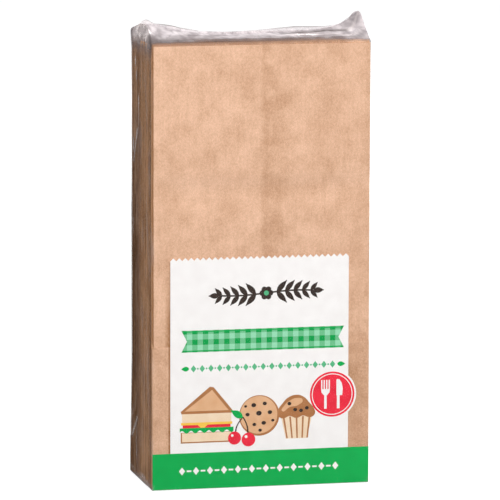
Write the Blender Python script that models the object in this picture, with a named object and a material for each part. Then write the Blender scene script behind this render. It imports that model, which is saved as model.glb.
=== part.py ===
"""A sealed pack of fifty brown paper lunch bags, folded flat, standing on its bottom end.

The bags stand side by side as they were stacked, mouths up. Each one is a gusseted kraft paper tube whose
square bottom is folded up against its front face. A printed paper sheet lies on the front bag, turns under
the pack and ends on the last bag's back. Clear film wraps all of it, with a lap down the back and a seal
across the top that ends in two loose ears.

Frame: X across the pack, +Y towards its back, +Z up. The origin is under the middle of the pack.
"""

import math

import bmesh
import bpy

MM = 0.001

# The folded bag
BAG_COUNT = 50
BAG_WIDTH = 133.35 * MM
BAG_HEIGHT = 266.7 * MM
BOTTOM_DEPTH = 86.0 * MM  # the open bag's depth, so also the height of the folded-up bottom flap
PAPER = 0.09 * MM
PLY_GAP = 0.10 * MM  # air between two plies of one bag
CORNER_TUCK = 1.0 * MM  # the gusset starts this far above the bottom fold
SEAM_WIDTH = 10.0 * MM  # the glued lap that closes the paper tube, down its front
SEAM_SHIFT = 5.0 * MM  # the lap's middle, right of the bag's middle
SEAM_PLY = 0.08 * MM

# How the pieces lie in the pack
BAG_GAP = 0.30 * MM  # air between two bags
SHEET_GAP = 0.30 * MM  # air on each side of the printed sheet
SIDE_GAP = 0.30 * MM  # air between the bags and the film, at the sides and the top

# The printed sheet
SHEET = 0.15 * MM
BAND_HEIGHT = 22.0 * MM  # the full-width foot of the sheet, on the front and again on the back
PANEL_TOP = 140.4 * MM  # above the sheet's bottom fold
PANEL_LEFT_MARGIN = 10.9 * MM  # from the bag's side to the panel's
PANEL_RIGHT_MARGIN = 12.9 * MM
TOOTH_PITCH = 3.68 * MM
TOOTH_HEIGHT = 1.3 * MM
BADGE_RADIUS = 14.9 * MM
BADGE_RIGHT_MARGIN = 7.9 * MM  # from the bag's side to the badge's edge
BADGE_HEIGHT = 54.8 * MM  # the badge's middle, above the sheet's bottom fold
BADGE_STEPS = 28  # sides of the full circle

# The film
FILM = 0.10 * MM
LAP_WIDTH = 12.0 * MM
LAP_GAP = 0.15 * MM
LAP_SLIT = 0.20 * MM
FIN = 0.40 * MM  # two crimped layers of film, along the top seal
FIN_LOW = 1.0 * MM  # the fin's height between its ears
LEFT_EAR_HEIGHT = 13.0 * MM
LEFT_EAR_LENGTH = 34.0 * MM
LEFT_EAR_TIP = 3.0 * MM  # from the pack's left side
RIGHT_EAR_HEIGHT = 15.0 * MM
RIGHT_EAR_LENGTH = 18.0 * MM
RIGHT_EAR_TIP = 1.0 * MM  # from the pack's right side

# Worked out from the sizes above
PLIES_UP_THE_FRONT = 6  # bottom flap, turned-up strip, front, two gusset plies, back
BAG_THICKNESS = PLIES_UP_THE_FRONT * PAPER + (PLIES_UP_THE_FRONT - 1) * PLY_GAP
BAG_PITCH = BAG_THICKNESS + BAG_GAP
STACK_DEPTH = (BAG_COUNT - 1) * BAG_PITCH + BAG_THICKNESS
SHEET_SPACE = SHEET_GAP + SHEET + SHEET_GAP
LAP_RISE = FILM + LAP_GAP  # how far the lap stands off the film's back
PACK_WIDTH = BAG_WIDTH + 2 * (SIDE_GAP + FILM)
PACK_DEPTH = 2 * (FILM + SHEET_SPACE) + STACK_DEPTH + LAP_RISE
PACK_FRONT = -PACK_DEPTH / 2
BAGS_FRONT = PACK_FRONT + FILM + SHEET_SPACE
BAGS_BOTTOM = FILM + SHEET_SPACE
FILM_TOP = BAGS_BOTTOM + BAG_HEIGHT + SIDE_GAP + FILM
PAST = 5.0 * MM  # how far a cutter runs past what it cuts


def ply_front(number):
    """How far behind the bag's front face ply `number` starts; ply 1 is the bottom flap, ply 6 the back."""
    return (number - 1) * (PAPER + PLY_GAP)


def new_object(name, bm, material=None):
    mesh = bpy.data.meshes.new(name)
    bmesh.ops.recalc_face_normals(bm, faces=bm.faces)
    bm.to_mesh(mesh)
    bm.free()
    made = bpy.data.objects.new(name, mesh)
    bpy.context.scene.collection.objects.link(made)
    if material:
        mesh.materials.append(material)
    return made


def prism(name, corners, along, low, high, material=None):
    """A flat outline pulled along one axis. Its corners are (y, z), (x, z) or (x, y), for X, Y or Z."""
    bm = bmesh.new()
    if along == "X":
        points = [(low, a, b) for a, b in corners]
        pull = (high - low, 0, 0)
    elif along == "Y":
        points = [(a, low, b) for a, b in corners]
        pull = (0, high - low, 0)
    else:
        points = [(a, b, low) for a, b in corners]
        pull = (0, 0, high - low)
    face = bm.faces.new([bm.verts.new(point) for point in points])
    pulled = bmesh.ops.extrude_face_region(bm, geom=[face])["geom"]
    moved = [v for v in pulled if isinstance(v, bmesh.types.BMVert)]
    bmesh.ops.translate(bm, verts=moved, vec=pull)
    return new_object(name, bm, material)


def rectangle(left, right, near, far):
    return [(left, near), (right, near), (right, far), (left, far)]


def helper(made):
    """Marks an object as a cutter or a pattern: it shapes others and isn't a piece itself."""
    made.hide_render = True
    made.display_type = "WIRE"
    return made


def combine(target, other, operation):
    modifier = target.modifiers.new(operation.title() + "_" + other.name, "BOOLEAN")
    modifier.operation = operation
    modifier.object = other
    modifier.solver = "EXACT"


def evaluated_mesh(made):
    """The object's mesh with its modifiers applied."""
    graph = bpy.context.evaluated_depsgraph_get()
    return bpy.data.meshes.new_from_object(made.evaluated_get(graph))


def make_material(name, colour, roughness, alpha=1.0):
    material = bpy.data.materials.new(name)
    material.use_nodes = True
    shader = material.node_tree.nodes["Principled BSDF"]
    shader.inputs["Base Color"].default_value = (*colour, 1.0)
    shader.inputs["Roughness"].default_value = roughness
    shader.inputs["Metallic"].default_value = 0.0
    shader.inputs["Alpha"].default_value = alpha
    material.diffuse_color = (*colour, alpha)
    return material


def folded_body(name, grow, top):
    """The space inside a flat-folded bag, grown outwards by `grow`; the paper lies between two of these.

    Seen from the side it is a tall slot with the bottom flap turned up in front of it. Both sides have
    the gusset's recess pressed in between the front and the back, ending in a 45 degree fold at the bottom.
    """
    flap_in = PAPER - grow
    flap_out = ply_front(2) + grow
    front_in = ply_front(3) + PAPER - grow
    back_out = ply_front(PLIES_UP_THE_FRONT) + grow
    floor = PAPER - grow
    flap_top = BOTTOM_DEPTH - PAPER + grow
    strip_fold = BOTTOM_DEPTH / 2 + grow
    outline = [
        (flap_in, floor),
        (flap_in, flap_top),
        (flap_out, flap_top),
        (flap_out, strip_fold),
        (front_in, strip_fold),
        (front_in, top),
        (back_out, top),
        (back_out, floor),
    ]
    half = BAG_WIDTH / 2 - PAPER + grow
    body = prism(name, outline, "X", -half, half)

    gusset_in = BAG_WIDTH / 2 - BOTTOM_DEPTH / 2 + grow
    recess_front = ply_front(4) + grow
    recess_back = ply_front(5) + PAPER - grow
    mouth = BAG_WIDTH / 2 + PAST
    # The recess's lower edge slopes at 45 degrees from the inner crease to the side, just above the floor.
    slope_shift = grow * math.sqrt(2)
    slope_foot = CORNER_TUCK + slope_shift
    for side in (-1, 1):
        corners = [
            (side * gusset_in, top + PAST),
            (side * gusset_in, slope_foot + BAG_WIDTH / 2 - gusset_in),
            (side * BAG_WIDTH / 2, slope_foot),
            (side * mouth, slope_foot),
            (side * mouth, top + PAST),
        ]
        recess = prism(f"{name}_recess_{side + 1}", corners, "Y", recess_front, recess_back)
        combine(body, helper(recess), "DIFFERENCE")
    return helper(body)


def make_bag_mesh(material):
    """One folded bag: its outside less its inside, and the glued lap down its front."""
    outside = folded_body("bag_outside", PAPER, BAG_HEIGHT)
    inside = folded_body("bag_inside", 0.0, BAG_HEIGHT + PAST)
    combine(outside, inside, "DIFFERENCE")

    seam_front = ply_front(3) + PAPER / 2
    seam_back = ply_front(3) + PAPER + SEAM_PLY
    seam_low = BOTTOM_DEPTH / 2 + PAPER
    lap = rectangle(SEAM_SHIFT - SEAM_WIDTH / 2, SEAM_SHIFT + SEAM_WIDTH / 2, seam_low, BAG_HEIGHT - PAPER)
    seam = helper(prism("bag_seam", lap, "Y", seam_front, seam_back))
    combine(outside, seam, "UNION")

    mesh = evaluated_mesh(outside)
    mesh.name = "folded_bag"
    mesh.materials.clear()
    mesh.materials.append(material)
    return mesh


def make_bags(material):
    mesh = make_bag_mesh(material)
    for number in range(BAG_COUNT):
        bag = bpy.data.objects.new(f"bag_{number + 1:02d}", mesh)
        bag.location = (0, BAGS_FRONT + number * BAG_PITCH, BAGS_BOTTOM)
        bpy.context.scene.collection.objects.link(bag)


def sheet_outline():
    """The sheet's front seen from the front, as (x, z), anticlockwise from its lower left corner."""
    bottom = FILM + SHEET_GAP
    left = PANEL_LEFT_MARGIN - BAG_WIDTH / 2
    right = BAG_WIDTH / 2 - PANEL_RIGHT_MARGIN
    band_top = bottom + BAND_HEIGHT
    teeth_foot = bottom + PANEL_TOP - TOOTH_HEIGHT
    points = [
        (-BAG_WIDTH / 2, bottom),
        (BAG_WIDTH / 2, bottom),
        (BAG_WIDTH / 2, band_top),
        (right, band_top),
    ]
    # The round badge bulges out past the panel's right edge.
    badge_x = BAG_WIDTH / 2 - BADGE_RIGHT_MARGIN - BADGE_RADIUS
    badge_z = bottom + BADGE_HEIGHT
    if badge_x + BADGE_RADIUS > right:
        reach = math.acos((right - badge_x) / BADGE_RADIUS)
        steps = round(BADGE_STEPS * reach / math.pi)
        for step in range(steps + 1):
            turn = -reach + 2 * reach * step / steps
            points.append((badge_x + BADGE_RADIUS * math.cos(turn), badge_z + BADGE_RADIUS * math.sin(turn)))
    # The top is cut with pinking teeth, from right to left.
    tooth_count = round((right - left) / TOOTH_PITCH)
    tooth = (right - left) / tooth_count
    for number in range(tooth_count):
        points.append((right - number * tooth, teeth_foot))
        points.append((right - (number + 0.5) * tooth, teeth_foot + TOOTH_HEIGHT))
    points.append((left, teeth_foot))
    points.append((left, band_top))
    points.append((-BAG_WIDTH / 2, band_top))
    return points


def make_sheet(material):
    """The printed sheet: its front, the strip under the pack and the turned-up back, folded from one piece."""
    front = PACK_FRONT + FILM + SHEET_GAP
    back = BAGS_FRONT + STACK_DEPTH + SHEET_GAP + SHEET
    bottom = FILM + SHEET_GAP
    bm = bmesh.new()
    bm.faces.new([bm.verts.new((x, front, z)) for x, z in sheet_outline()])
    fold = [edge for edge in bm.edges if all(abs(v.co.z - bottom) < PAPER / 10 for v in edge.verts)]
    under = bmesh.ops.extrude_edge_only(bm, edges=fold)["geom"]
    moved = [item for item in under if isinstance(item, bmesh.types.BMVert)]
    bmesh.ops.translate(bm, verts=moved, vec=(0, back - front, 0))
    fold = [item for item in under if isinstance(item, bmesh.types.BMEdge) and set(item.verts) <= set(moved)]
    upright = bmesh.ops.extrude_edge_only(bm, edges=fold)["geom"]
    moved = [item for item in upright if isinstance(item, bmesh.types.BMVert)]
    bmesh.ops.translate(bm, verts=moved, vec=(0, 0, BAND_HEIGHT))
    sheet = new_object("printed_sheet", bm, material)
    # The thickness grows towards the bags, so the sheet's faces have to point away from them.
    front_face = min(sheet.data.polygons, key=lambda face: face.center.y)
    if front_face.normal.y > 0:
        sheet.data.flip_normals()
    solidify = sheet.modifiers.new("Thickness", "SOLIDIFY")
    solidify.thickness = SHEET
    solidify.offset = -1.0
    solidify.use_even_offset = True


def make_film(material):
    """The film is a thin-walled box. Its back is slit from top to bottom, and a lap covers the slit."""
    side = PACK_WIDTH / 2
    back = PACK_DEPTH / 2 - LAP_RISE
    film = prism("film_wrap", rectangle(-side, side, PACK_FRONT, back), "Z", 0, FILM_TOP, material)
    hollow = rectangle(FILM - side, side - FILM, PACK_FRONT + FILM, back - FILM)
    combine(film, helper(prism("film_hollow", hollow, "Z", FILM, FILM_TOP - FILM)), "DIFFERENCE")

    lap_root = -LAP_WIDTH / 2
    slit = rectangle(lap_root + FILM, lap_root + FILM + LAP_SLIT, back - 2 * FILM, back + FILM)
    combine(film, helper(prism("film_slit", slit, "Z", FILM, FILM_TOP - FILM)), "DIFFERENCE")
    lap = [
        (lap_root, back - FILM / 2),
        (lap_root + FILM, back - FILM / 2),
        (lap_root + FILM, back + LAP_GAP),
        (-lap_root, back + LAP_GAP),
        (-lap_root, back + LAP_RISE),
        (lap_root, back + LAP_RISE),
    ]
    combine(film, helper(prism("film_lap", lap, "Z", FILM, FILM_TOP - FILM)), "UNION")

    left, right = FILM - side, side - FILM
    fin_corners = [
        (left, FILM_TOP - FILM / 2),
        (right, FILM_TOP - FILM / 2),
        (right, FILM_TOP + FIN_LOW),
        (right - RIGHT_EAR_TIP, FILM_TOP + RIGHT_EAR_HEIGHT),
        (right - RIGHT_EAR_LENGTH, FILM_TOP + FIN_LOW),
        (left + LEFT_EAR_LENGTH, FILM_TOP + FIN_LOW),
        (left + LEFT_EAR_TIP, FILM_TOP + LEFT_EAR_HEIGHT),
        (left, FILM_TOP + FIN_LOW),
    ]
    combine(film, helper(prism("film_top_fin", fin_corners, "Y", -FIN / 2, FIN / 2)), "UNION")


def clear_scene():
    for old in list(bpy.data.objects):
        bpy.data.objects.remove(old)


def main():
    clear_scene()
    kraft = make_material("kraft_paper", (0.63, 0.42, 0.26), 0.85)
    printed = make_material("printed_paper", (0.90, 0.89, 0.87), 0.55)
    clear = make_material("clear_film", (0.95, 0.96, 0.97), 0.12, alpha=0.2)
    make_bags(kraft)
    make_sheet(printed)
    make_film(clear)
    bpy.context.view_layer.update()


main()
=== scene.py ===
# %% [markdown]
# # A film pack of paper lunch bags
#
# The pack holds fifty brown kraft bags, folded flat and standing on their folded bottoms. A printed paper
# sheet lies on the front bag, and clear film wraps everything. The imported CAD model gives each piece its
# size and place. This lesson replaces its plain solids with paper that waves a little, ink, and film that
# crinkles, and then lights the pack like a product photograph.

# %% Load the frame
import math
import random

import bmesh
import bpy
import numpy as np
from mathutils import Matrix, Vector, noise


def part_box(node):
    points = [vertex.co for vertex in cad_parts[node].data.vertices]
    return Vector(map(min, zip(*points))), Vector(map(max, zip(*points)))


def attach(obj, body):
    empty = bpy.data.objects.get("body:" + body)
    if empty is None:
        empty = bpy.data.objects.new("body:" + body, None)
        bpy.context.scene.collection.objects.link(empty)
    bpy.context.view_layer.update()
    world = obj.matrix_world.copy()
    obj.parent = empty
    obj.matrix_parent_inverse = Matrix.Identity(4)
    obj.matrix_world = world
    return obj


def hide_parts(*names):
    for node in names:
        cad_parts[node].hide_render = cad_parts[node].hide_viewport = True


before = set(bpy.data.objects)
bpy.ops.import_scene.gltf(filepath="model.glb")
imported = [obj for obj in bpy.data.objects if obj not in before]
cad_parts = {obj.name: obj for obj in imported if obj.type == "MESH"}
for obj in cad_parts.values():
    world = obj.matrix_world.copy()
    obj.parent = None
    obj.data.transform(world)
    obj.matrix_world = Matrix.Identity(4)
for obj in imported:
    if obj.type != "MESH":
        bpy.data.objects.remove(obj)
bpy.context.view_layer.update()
MM = 0.001
random.seed(50)

# %% [markdown]
# ## Sizes
#
# Every size comes from the frame, so each new piece lies where the CAD model has it. A folded bag is six
# plies thick: the bottom flap in front, the strip turned up behind it, the front, two gusset plies and the
# back. The paper and the air between two plies can't be read from a box, so they are named here.

# %% Read the sizes from the frame
BAGS = sorted(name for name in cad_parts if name.startswith("bag_"))
BAG_LOW, BAG_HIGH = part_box(BAGS[0])
LAST_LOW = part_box(BAGS[-1])[0]
SHEET_LOW, SHEET_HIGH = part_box("printed_sheet")
FILM_LOW, FILM_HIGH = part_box("film_wrap")
HALF_WIDTH = BAG_HIGH.x
BAG_TOP = BAG_HIGH.z
BAG_BOTTOM = BAG_LOW.z
PITCH = (LAST_LOW.y - BAG_LOW.y) / (len(BAGS) - 1)
PAPER = 0.09 * MM
PLY = PAPER + 0.10 * MM
FLAP_HEIGHT = 86 * MM
STRIP_HEIGHT = FLAP_HEIGHT / 2
GUSSET = FLAP_HEIGHT / 2
thickness = (BAG_HIGH - BAG_LOW).y
print(len(BAGS), "bags,", round(thickness / MM, 2), "mm thick, one every", round(PITCH / MM, 2), "mm")

# %% [markdown]
# ## Camera
#
# The photograph was taken from about three metres with a very long lens, a little to the pack's left and a
# little above it. Its place was found by matching the pack's corners, so a plain camera with no shift gives
# the same picture.

# %% Place the camera
CAMERA_TARGET = Vector((0.55 * MM, 0, 139.4 * MM))
CAMERA_DISTANCE = 3.0
CAMERA_ROLL = math.radians(0.145)
SENSOR, LENS = 36, 357  # mm


def direction(azimuth, elevation):
    """The way to a place round the pack, in degrees: azimuth 0 is in front, and 90 on the pack's right."""
    turn, rise = math.radians(azimuth), math.radians(elevation)
    return Vector((math.sin(turn) * math.cos(rise), -math.cos(turn) * math.cos(rise), math.sin(rise)))


towards_camera = direction(-12.74, 8.32)
bpy.ops.object.camera_add(location=CAMERA_TARGET + towards_camera * CAMERA_DISTANCE)
camera = bpy.context.object
camera.name = "camera"
camera.data.sensor_width = SENSOR
camera.data.lens = LENS
turn = (-towards_camera).to_track_quat("-Z", "Y").to_matrix() @ Matrix.Rotation(CAMERA_ROLL, 3, "Z")
camera.rotation_euler = turn.to_euler()
camera.data.clip_end = 20
bpy.context.scene.camera = camera
print("camera at", [round(c, 3) for c in camera.location])

# %% [markdown]
# ## Material helpers
#
# Colours are written as they look on a screen, so one function turns them into the linear values that
# shaders work in. A second one adds a node with its settings and its links in one line, which keeps the
# recipes below short enough to read. A third starts an empty material.

# %% Helpers for materials
def linear(code):
    """A linear colour from an sRGB hex value."""
    channels = [int(code[i:i + 2], 16) / 255 for i in (1, 3, 5)]
    return (*[c / 12.92 if c <= 0.04045 else ((c + 0.055) / 1.055) ** 2.4 for c in channels], 1.0)


def add_node(tree, kind, values=None, **settings):
    """Adds a shader node. Settings are its properties. Values fill its sockets, each by its number or name,
    with a number, another node's socket, or another node, whose first output in use is then taken."""
    node = tree.nodes.new("ShaderNode" + kind)
    for name, value in settings.items():
        setattr(node, name, value)
    for name, value in (values or {}).items():
        if isinstance(value, bpy.types.Node):
            value = next(socket for socket in value.outputs if socket.enabled)
        if isinstance(value, bpy.types.NodeSocket):
            tree.links.new(value, node.inputs[name])
        else:
            node.inputs[name].default_value = value
    return node


def new_material(name):
    """An empty material and its node tree."""
    material = bpy.data.materials.new(name)
    material.use_nodes = True
    material.node_tree.nodes.clear()
    return material, material.node_tree


print("half grey, #808080, is", round(linear("#808080")[0], 3), "of full white to a shader")

# %% [markdown]
# ## Light
#
# The pack is a product photograph on white. One large softbox stands to the right of the camera and above
# it, so the front is evenly lit and the pack's left side falls into shade. A weaker one behind keeps the back
# readable. A narrow strip far to the left only grazes the film there, and its reflection adds to the painted
# highlights that draw the bright lines along the film's folds.

# %% Three lamps
LAMP_TARGET = Vector((0, 0, 130 * MM))


def softbox(name, azimuth, elevation, distance, width, height, watts):
    """A rectangular lamp that looks at the middle of the pack. Sizes are in metres."""
    away = direction(azimuth, elevation)
    bpy.ops.object.light_add(type="AREA", location=LAMP_TARGET + away * distance)
    lamp = bpy.context.object
    lamp.name = name
    lamp.data.shape = "RECTANGLE"
    lamp.data.size = width
    lamp.data.size_y = height
    lamp.data.energy = watts
    lamp.rotation_euler = away.to_track_quat("Z", "Y").to_euler()


softbox("key_softbox", 6, 38, 2.4, 1.2, 1.2, 64)
softbox("back_softbox", 150, 35, 2.2, 1.0, 1.0, 40)
softbox("left_fill", -58, 12, 2.2, 0.5, 1.0, 6.5)
print("two softboxes and one strip light")

# %% [markdown]
# The studio has two faces. To the camera, to mirrors and through clear film it is plain white, as the
# photograph's background is. To all other rays it is dim, so that the white doesn't wash out the paper. The
# Light Path node tells the two kinds of ray apart.

# %% World and floor
def seen_rays(tree):
    """1 for a ray that shows the studio: from the camera, off a mirror or through film. Otherwise 0."""
    rays = add_node(tree, "LightPath")
    seen = add_node(tree, "Math", {0: rays.outputs["Is Camera Ray"], 1: rays.outputs["Is Glossy Ray"]},
                    operation="MAXIMUM")
    return add_node(tree, "Math", {0: seen, 1: rays.outputs["Is Transmission Ray"]}, operation="MAXIMUM")


world = bpy.data.worlds.new("studio")
bpy.context.scene.world = world
world.use_nodes = True
tree = world.node_tree
tree.nodes.clear()
dim = add_node(tree, "Background", {"Color": linear("#F4F6FA"), "Strength": 0.2})
white = add_node(tree, "Background", {"Color": (1, 1, 1, 1), "Strength": 1.0})
sky = add_node(tree, "MixShader", {0: seen_rays(tree), 1: dim, 2: white})
add_node(tree, "OutputWorld", {"Surface": sky})

floor_material, tree = new_material("white_floor")
matt = add_node(tree, "BsdfDiffuse", {"Color": linear("#A8A8A8")})
glow = add_node(tree, "Emission", {"Color": (1, 1, 1, 1), "Strength": 0.93})
lit = add_node(tree, "AddShader", {0: matt, 1: glow})
dull = add_node(tree, "BsdfDiffuse", {"Color": linear("#9A9A9A")})
ground = add_node(tree, "MixShader", {0: seen_rays(tree), 1: dull, 2: lit})
add_node(tree, "OutputMaterial", {"Surface": ground})

# The floor lies a hair below the pack, so the two never share a plane.
bpy.ops.object.select_all(action="DESELECT")
bpy.ops.mesh.primitive_plane_add(size=12, location=(0, 0, -0.2 * MM))
bpy.ops.object.transform_apply(location=True, rotation=True, scale=True)
floor = bpy.context.object
floor.name = "studio_floor"
floor.data.materials.append(floor_material)
bpy.context.scene.view_settings.view_transform = "Standard"
print("a white world and a white floor")

# %% [markdown]
# ## Kraft paper
#
# The bags are unbleached kraft paper, made on a machine that lays its fibres mostly along the web, which
# runs up the bag. Close to, it is a warm brown with darker and paler flecks and faint upright streaks, and
# from further off it looks softly cloudy. It is matt. Real fibres are about 0.03 mm wide and far too fine to
# show, so the flecks are drawn nearly a millimetre wide. A number on each bag's vertices makes it a little
# paler or darker than its neighbours, and also carries painted shade and painted highlights.
#
# Four noises of different sizes add up to the shade, so they are kept in a table and made in one loop.

# %% Kraft paper
# Each pattern's size in mm across, deep and up the bag, its detail and roughness, which part of the noise is
# used, and how far that lightens or darkens the paper.
PAPER_PATTERNS = {
    "clouds": ((16, 16, 16), 2, 0.5, (0.32, 0.68), (0.0, 0.5)),
    "streaks": ((2.2, 2.2, 26), 3, 0.5, (0.3, 0.7), (-0.09, 0.11)),
    "fibres": ((0.8, 0.8, 1.1), 3, 0.7, (0.3, 0.7), (-0.38, 0.40)),
    "mottle": ((6, 6, 6), 1, 0.5, (0.3, 0.7), (-0.09, 0.09)),
}


def kraft_material(name, paper, shade, glued_lap=False):
    """Kraft paper between two colours. The front bag shows its glued lap, and the stack painted light and
    shade in lines along its uneven edges.
    """
    material, tree = new_material(name)
    place = add_node(tree, "TexCoord").outputs["Object"]
    noises, shades = {}, []
    for pattern, (size, detail, roughness, used, amount) in PAPER_PATTERNS.items():
        scaled = add_node(tree, "Mapping", {"Vector": place, "Scale": [1 / (side * MM) for side in size]})
        noises[pattern] = add_node(tree, "TexNoise", {
            "Vector": scaled, "Scale": 1, "Detail": detail, "Roughness": roughness})
        shades.append(add_node(tree, "MapRange", {
            "Value": noises[pattern], "From Min": used[0], "From Max": used[1],
            "To Min": amount[0], "To Max": amount[1]}))
    # Each bag's own paler or darker paper, with painted shade and painted highlights added on its vertices.
    shades.append(add_node(tree, "Attribute", attribute_name="tint_and_painted_light").outputs["Fac"])
    shades.append(lap_shade(tree, place) if glued_lap else painted_edge_light_and_shade(tree, place))
    total = shades[0]
    for part in shades[1:]:
        total = add_node(tree, "Math", {0: total, 1: part}, operation="ADD")
    colour = add_node(tree, "Mix", {0: total, 6: linear(paper), 7: linear(shade)},
                      data_type="RGBA", clamp_factor=not glued_lap)

    relief = add_node(tree, "Math", {0: noises["streaks"], 1: noises["fibres"]}, operation="ADD")
    bump = add_node(tree, "Bump", {"Height": relief, "Strength": 0.25, "Distance": 0.05 * MM})
    rough = add_node(tree, "MapRange", {"Value": noises["fibres"], "To Min": 0.78, "To Max": 0.95})
    paper_shader = add_node(tree, "BsdfPrincipled", {
        "Base Color": colour, "Roughness": rough, "Specular IOR Level": 0.3,
        "Normal": bump})
    add_node(tree, "OutputMaterial", {"Surface": paper_shader})
    return material


LAP_WIDTH = 10 * MM


def lap_shade(tree, place):
    """How much darker the front is over the glued lap: sharp on the lap's left, fading on its right."""
    across = add_node(tree, "SeparateXYZ", {0: place}).outputs["X"]
    starts = add_node(tree, "MapRange", {
        "Value": across, "From Min": -1.6 * MM, "From Max": 2.4 * MM}, interpolation_type="SMOOTHSTEP")
    ends = add_node(tree, "MapRange", {
        "Value": across, "From Min": 2 * LAP_WIDTH, "From Max": -0.5 * LAP_WIDTH})
    band = add_node(tree, "Math", {0: starts, 1: ends}, operation="MULTIPLY")
    uneven = add_node(tree, "TexNoise", {"Vector": place, "Scale": 1 / (12 * MM), "Detail": 2})
    amount = add_node(tree, "MapRange", {
        "Value": uneven, "From Min": 0.35, "From Max": 0.65, "To Min": 0.42, "To Max": 0.72})
    return add_node(tree, "Math", {0: band, 1: amount}, operation="MULTIPLY")


def painted_edge_light_and_shade(tree, place):
    """Painted light and shade in lines along the folded edges, standing for edges that gape and edges pressed
    shut.
    """
    along = add_node(tree, "Mapping", {
        "Vector": place, "Scale": (1 / (9 * MM), 1 / (1.6 * MM), 1 / (30 * MM))})
    lines = add_node(tree, "TexNoise", {"Vector": along, "Scale": 1, "Detail": 3})
    return add_node(tree, "MapRange", {
        "Value": lines, "From Min": 0.35, "From Max": 0.65, "To Min": -0.3, "To Max": 0.4})


kraft_stack = kraft_material("kraft_paper_in_the_stack", "#E6B58C", "#B07F58")
kraft_front = kraft_material("kraft_paper_of_the_front_bag", "#E5BA9C", "#C49878", glued_lap=True)
kraft_back = kraft_material("kraft_paper_of_the_last_bag", "#E2B797", "#C09472")
print("materials:", kraft_stack.name, kraft_front.name, kraft_back.name)

# %% [markdown]
# ## Modelling helpers
#
# The bags start as boxes. In edit mode an operator acts on what is selected, so `choose` selects by place
# and direction, as a modeller would by clicking. `slice_up` cuts a mesh with a row of planes: paper only
# bends where it has vertices, and a bisect puts them exactly where they are wanted.

# %% Helpers for edit mode
def new_box(name, low, high):
    """A box between two corners, with its place in its mesh."""
    bpy.ops.object.select_all(action="DESELECT")
    low, high = Vector(low), Vector(high)
    bpy.ops.mesh.primitive_cube_add(size=1, location=(low + high) / 2, scale=high - low)
    bpy.ops.object.transform_apply(location=True, rotation=True, scale=True)
    box = bpy.context.object
    box.name = name
    return box


def pick(piece):
    """Selects one piece and nothing else."""
    bpy.ops.object.select_all(action="DESELECT")
    bpy.context.view_layer.objects.active = piece
    piece.select_set(True)


def edit(piece):
    """Opens one piece in edit mode."""
    pick(piece)
    bpy.ops.object.mode_set(mode="EDIT")


def leave():
    """Leaves edit mode, which also brings the mesh up to date."""
    bpy.ops.object.mode_set(mode="OBJECT")


def choose(kind, test):
    """Selects the vertices, edges or faces whose middle and normal pass a test."""
    bpy.ops.mesh.select_mode(type=kind)
    bpy.ops.mesh.select_all(action="DESELECT")
    mesh = bpy.context.edit_object.data
    shape = bmesh.from_edit_mesh(mesh)
    for item in {"VERT": shape.verts, "EDGE": shape.edges, "FACE": shape.faces}[kind]:
        if kind == "VERT":
            middle, normal = item.co, item.normal
        elif kind == "EDGE":
            middle = (item.verts[0].co + item.verts[1].co) / 2
            normal = (item.verts[1].co - item.verts[0].co).normalized()
        else:
            middle, normal = item.calc_center_median(), item.normal
        item.select_set(bool(test(middle, normal)))
    shape.select_flush_mode()
    bmesh.update_edit_mesh(mesh)


def slice_up(axis, places):
    """Cuts what is in edit mode at each place along an axis: 0, 1 or 2 for X, Y or Z."""
    for place in places:
        bpy.ops.mesh.select_all(action="SELECT")
        point, normal = [0, 0, 0], [0, 0, 0]
        point[axis], normal[axis] = place, 1
        bpy.ops.mesh.bisect(plane_co=point, plane_no=normal)


def steps(low, high, size):
    """Evenly spaced places between two ends, about one size apart, without the ends."""
    count = max(2, round((high - low) / size))
    return [low + (high - low) * i / count for i in range(1, count)]


print("cells of about 4 mm cut a 12 mm edge at", steps(0, 12, 4), "mm")

# %% [markdown]
# The other helpers work on a whole piece, outside edit mode. They add a modifier, smooth the shading, and
# read and write all vertices at once as rows of numbers, which is much faster than one by one.

# %% Helpers for whole pieces
def finish_with(piece, kind, **settings):
    """Adds a modifier with its settings and applies it."""
    modifier = piece.modifiers.new(kind.title(), kind)
    for name, value in settings.items():
        setattr(modifier, name, value)
    bpy.context.view_layer.objects.active = piece
    bpy.ops.object.modifier_apply(modifier=modifier.name)


def smooth(piece, degrees):
    """Shades a piece smoothly over every edge that is blunter than an angle."""
    pick(piece)
    bpy.ops.object.shade_smooth_by_angle(angle=math.radians(degrees))


def read_points(piece):
    """The places of a piece's vertices, one row each."""
    points = np.empty(len(piece.data.vertices) * 3, np.float32)
    piece.data.vertices.foreach_get("co", points)
    return points.reshape(-1, 3).astype(float)


def write_points(piece, points):
    """Puts a piece's vertices at new places."""
    piece.data.vertices.foreach_set("co", points.astype(np.float32).ravel())
    piece.data.update()


def store(piece, name, values):
    """Stores a named number on every vertex, for the material to read."""
    attribute = piece.data.attributes.new(name, "FLOAT", "POINT")
    attribute.data.foreach_set("value", np.ascontiguousarray(values))


print("helpers for whole pieces: finish_with, smooth, read_points, write_points and store")

# %% [markdown]
# ## How paper lies in the stack
#
# Paper that was folded on a machine and pressed into a pack is nearly flat, but not quite. Every bag follows
# its neighbours, so one smooth field moves them all: it depends on where a point is in the pack, and two
# sheets that touch move alike and never pass through each other. A valley runs across the front bags two
# thirds up, where the machine creased them. It is nearly a millimetre deep in the first bag and a little less
# in each one behind it, because the air between the bags takes it up.

# %% The field that all the paper follows
CREASE_HEIGHT = 180.5 * MM
STEEP_SIDE, EASY_SIDE = 11, 17  # how far the valley reaches above and below the crease, in mm
VALLEY_DEPTH = 0.9 * MM


def noise_at(x, y, z):
    """Blender's smooth noise at one place, between -1 and 1."""
    return noise.noise(Vector((x, y, z)))


def wave(x, z):
    """How far the paper stands towards the front at one place, in metres."""
    slow = noise_at(x / (55 * MM), 3.1, z / (70 * MM))
    quick = noise_at(x / (26 * MM), 8.7, z / (34 * MM))
    return (0.10 * slow + 0.045 * quick) * MM


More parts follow.
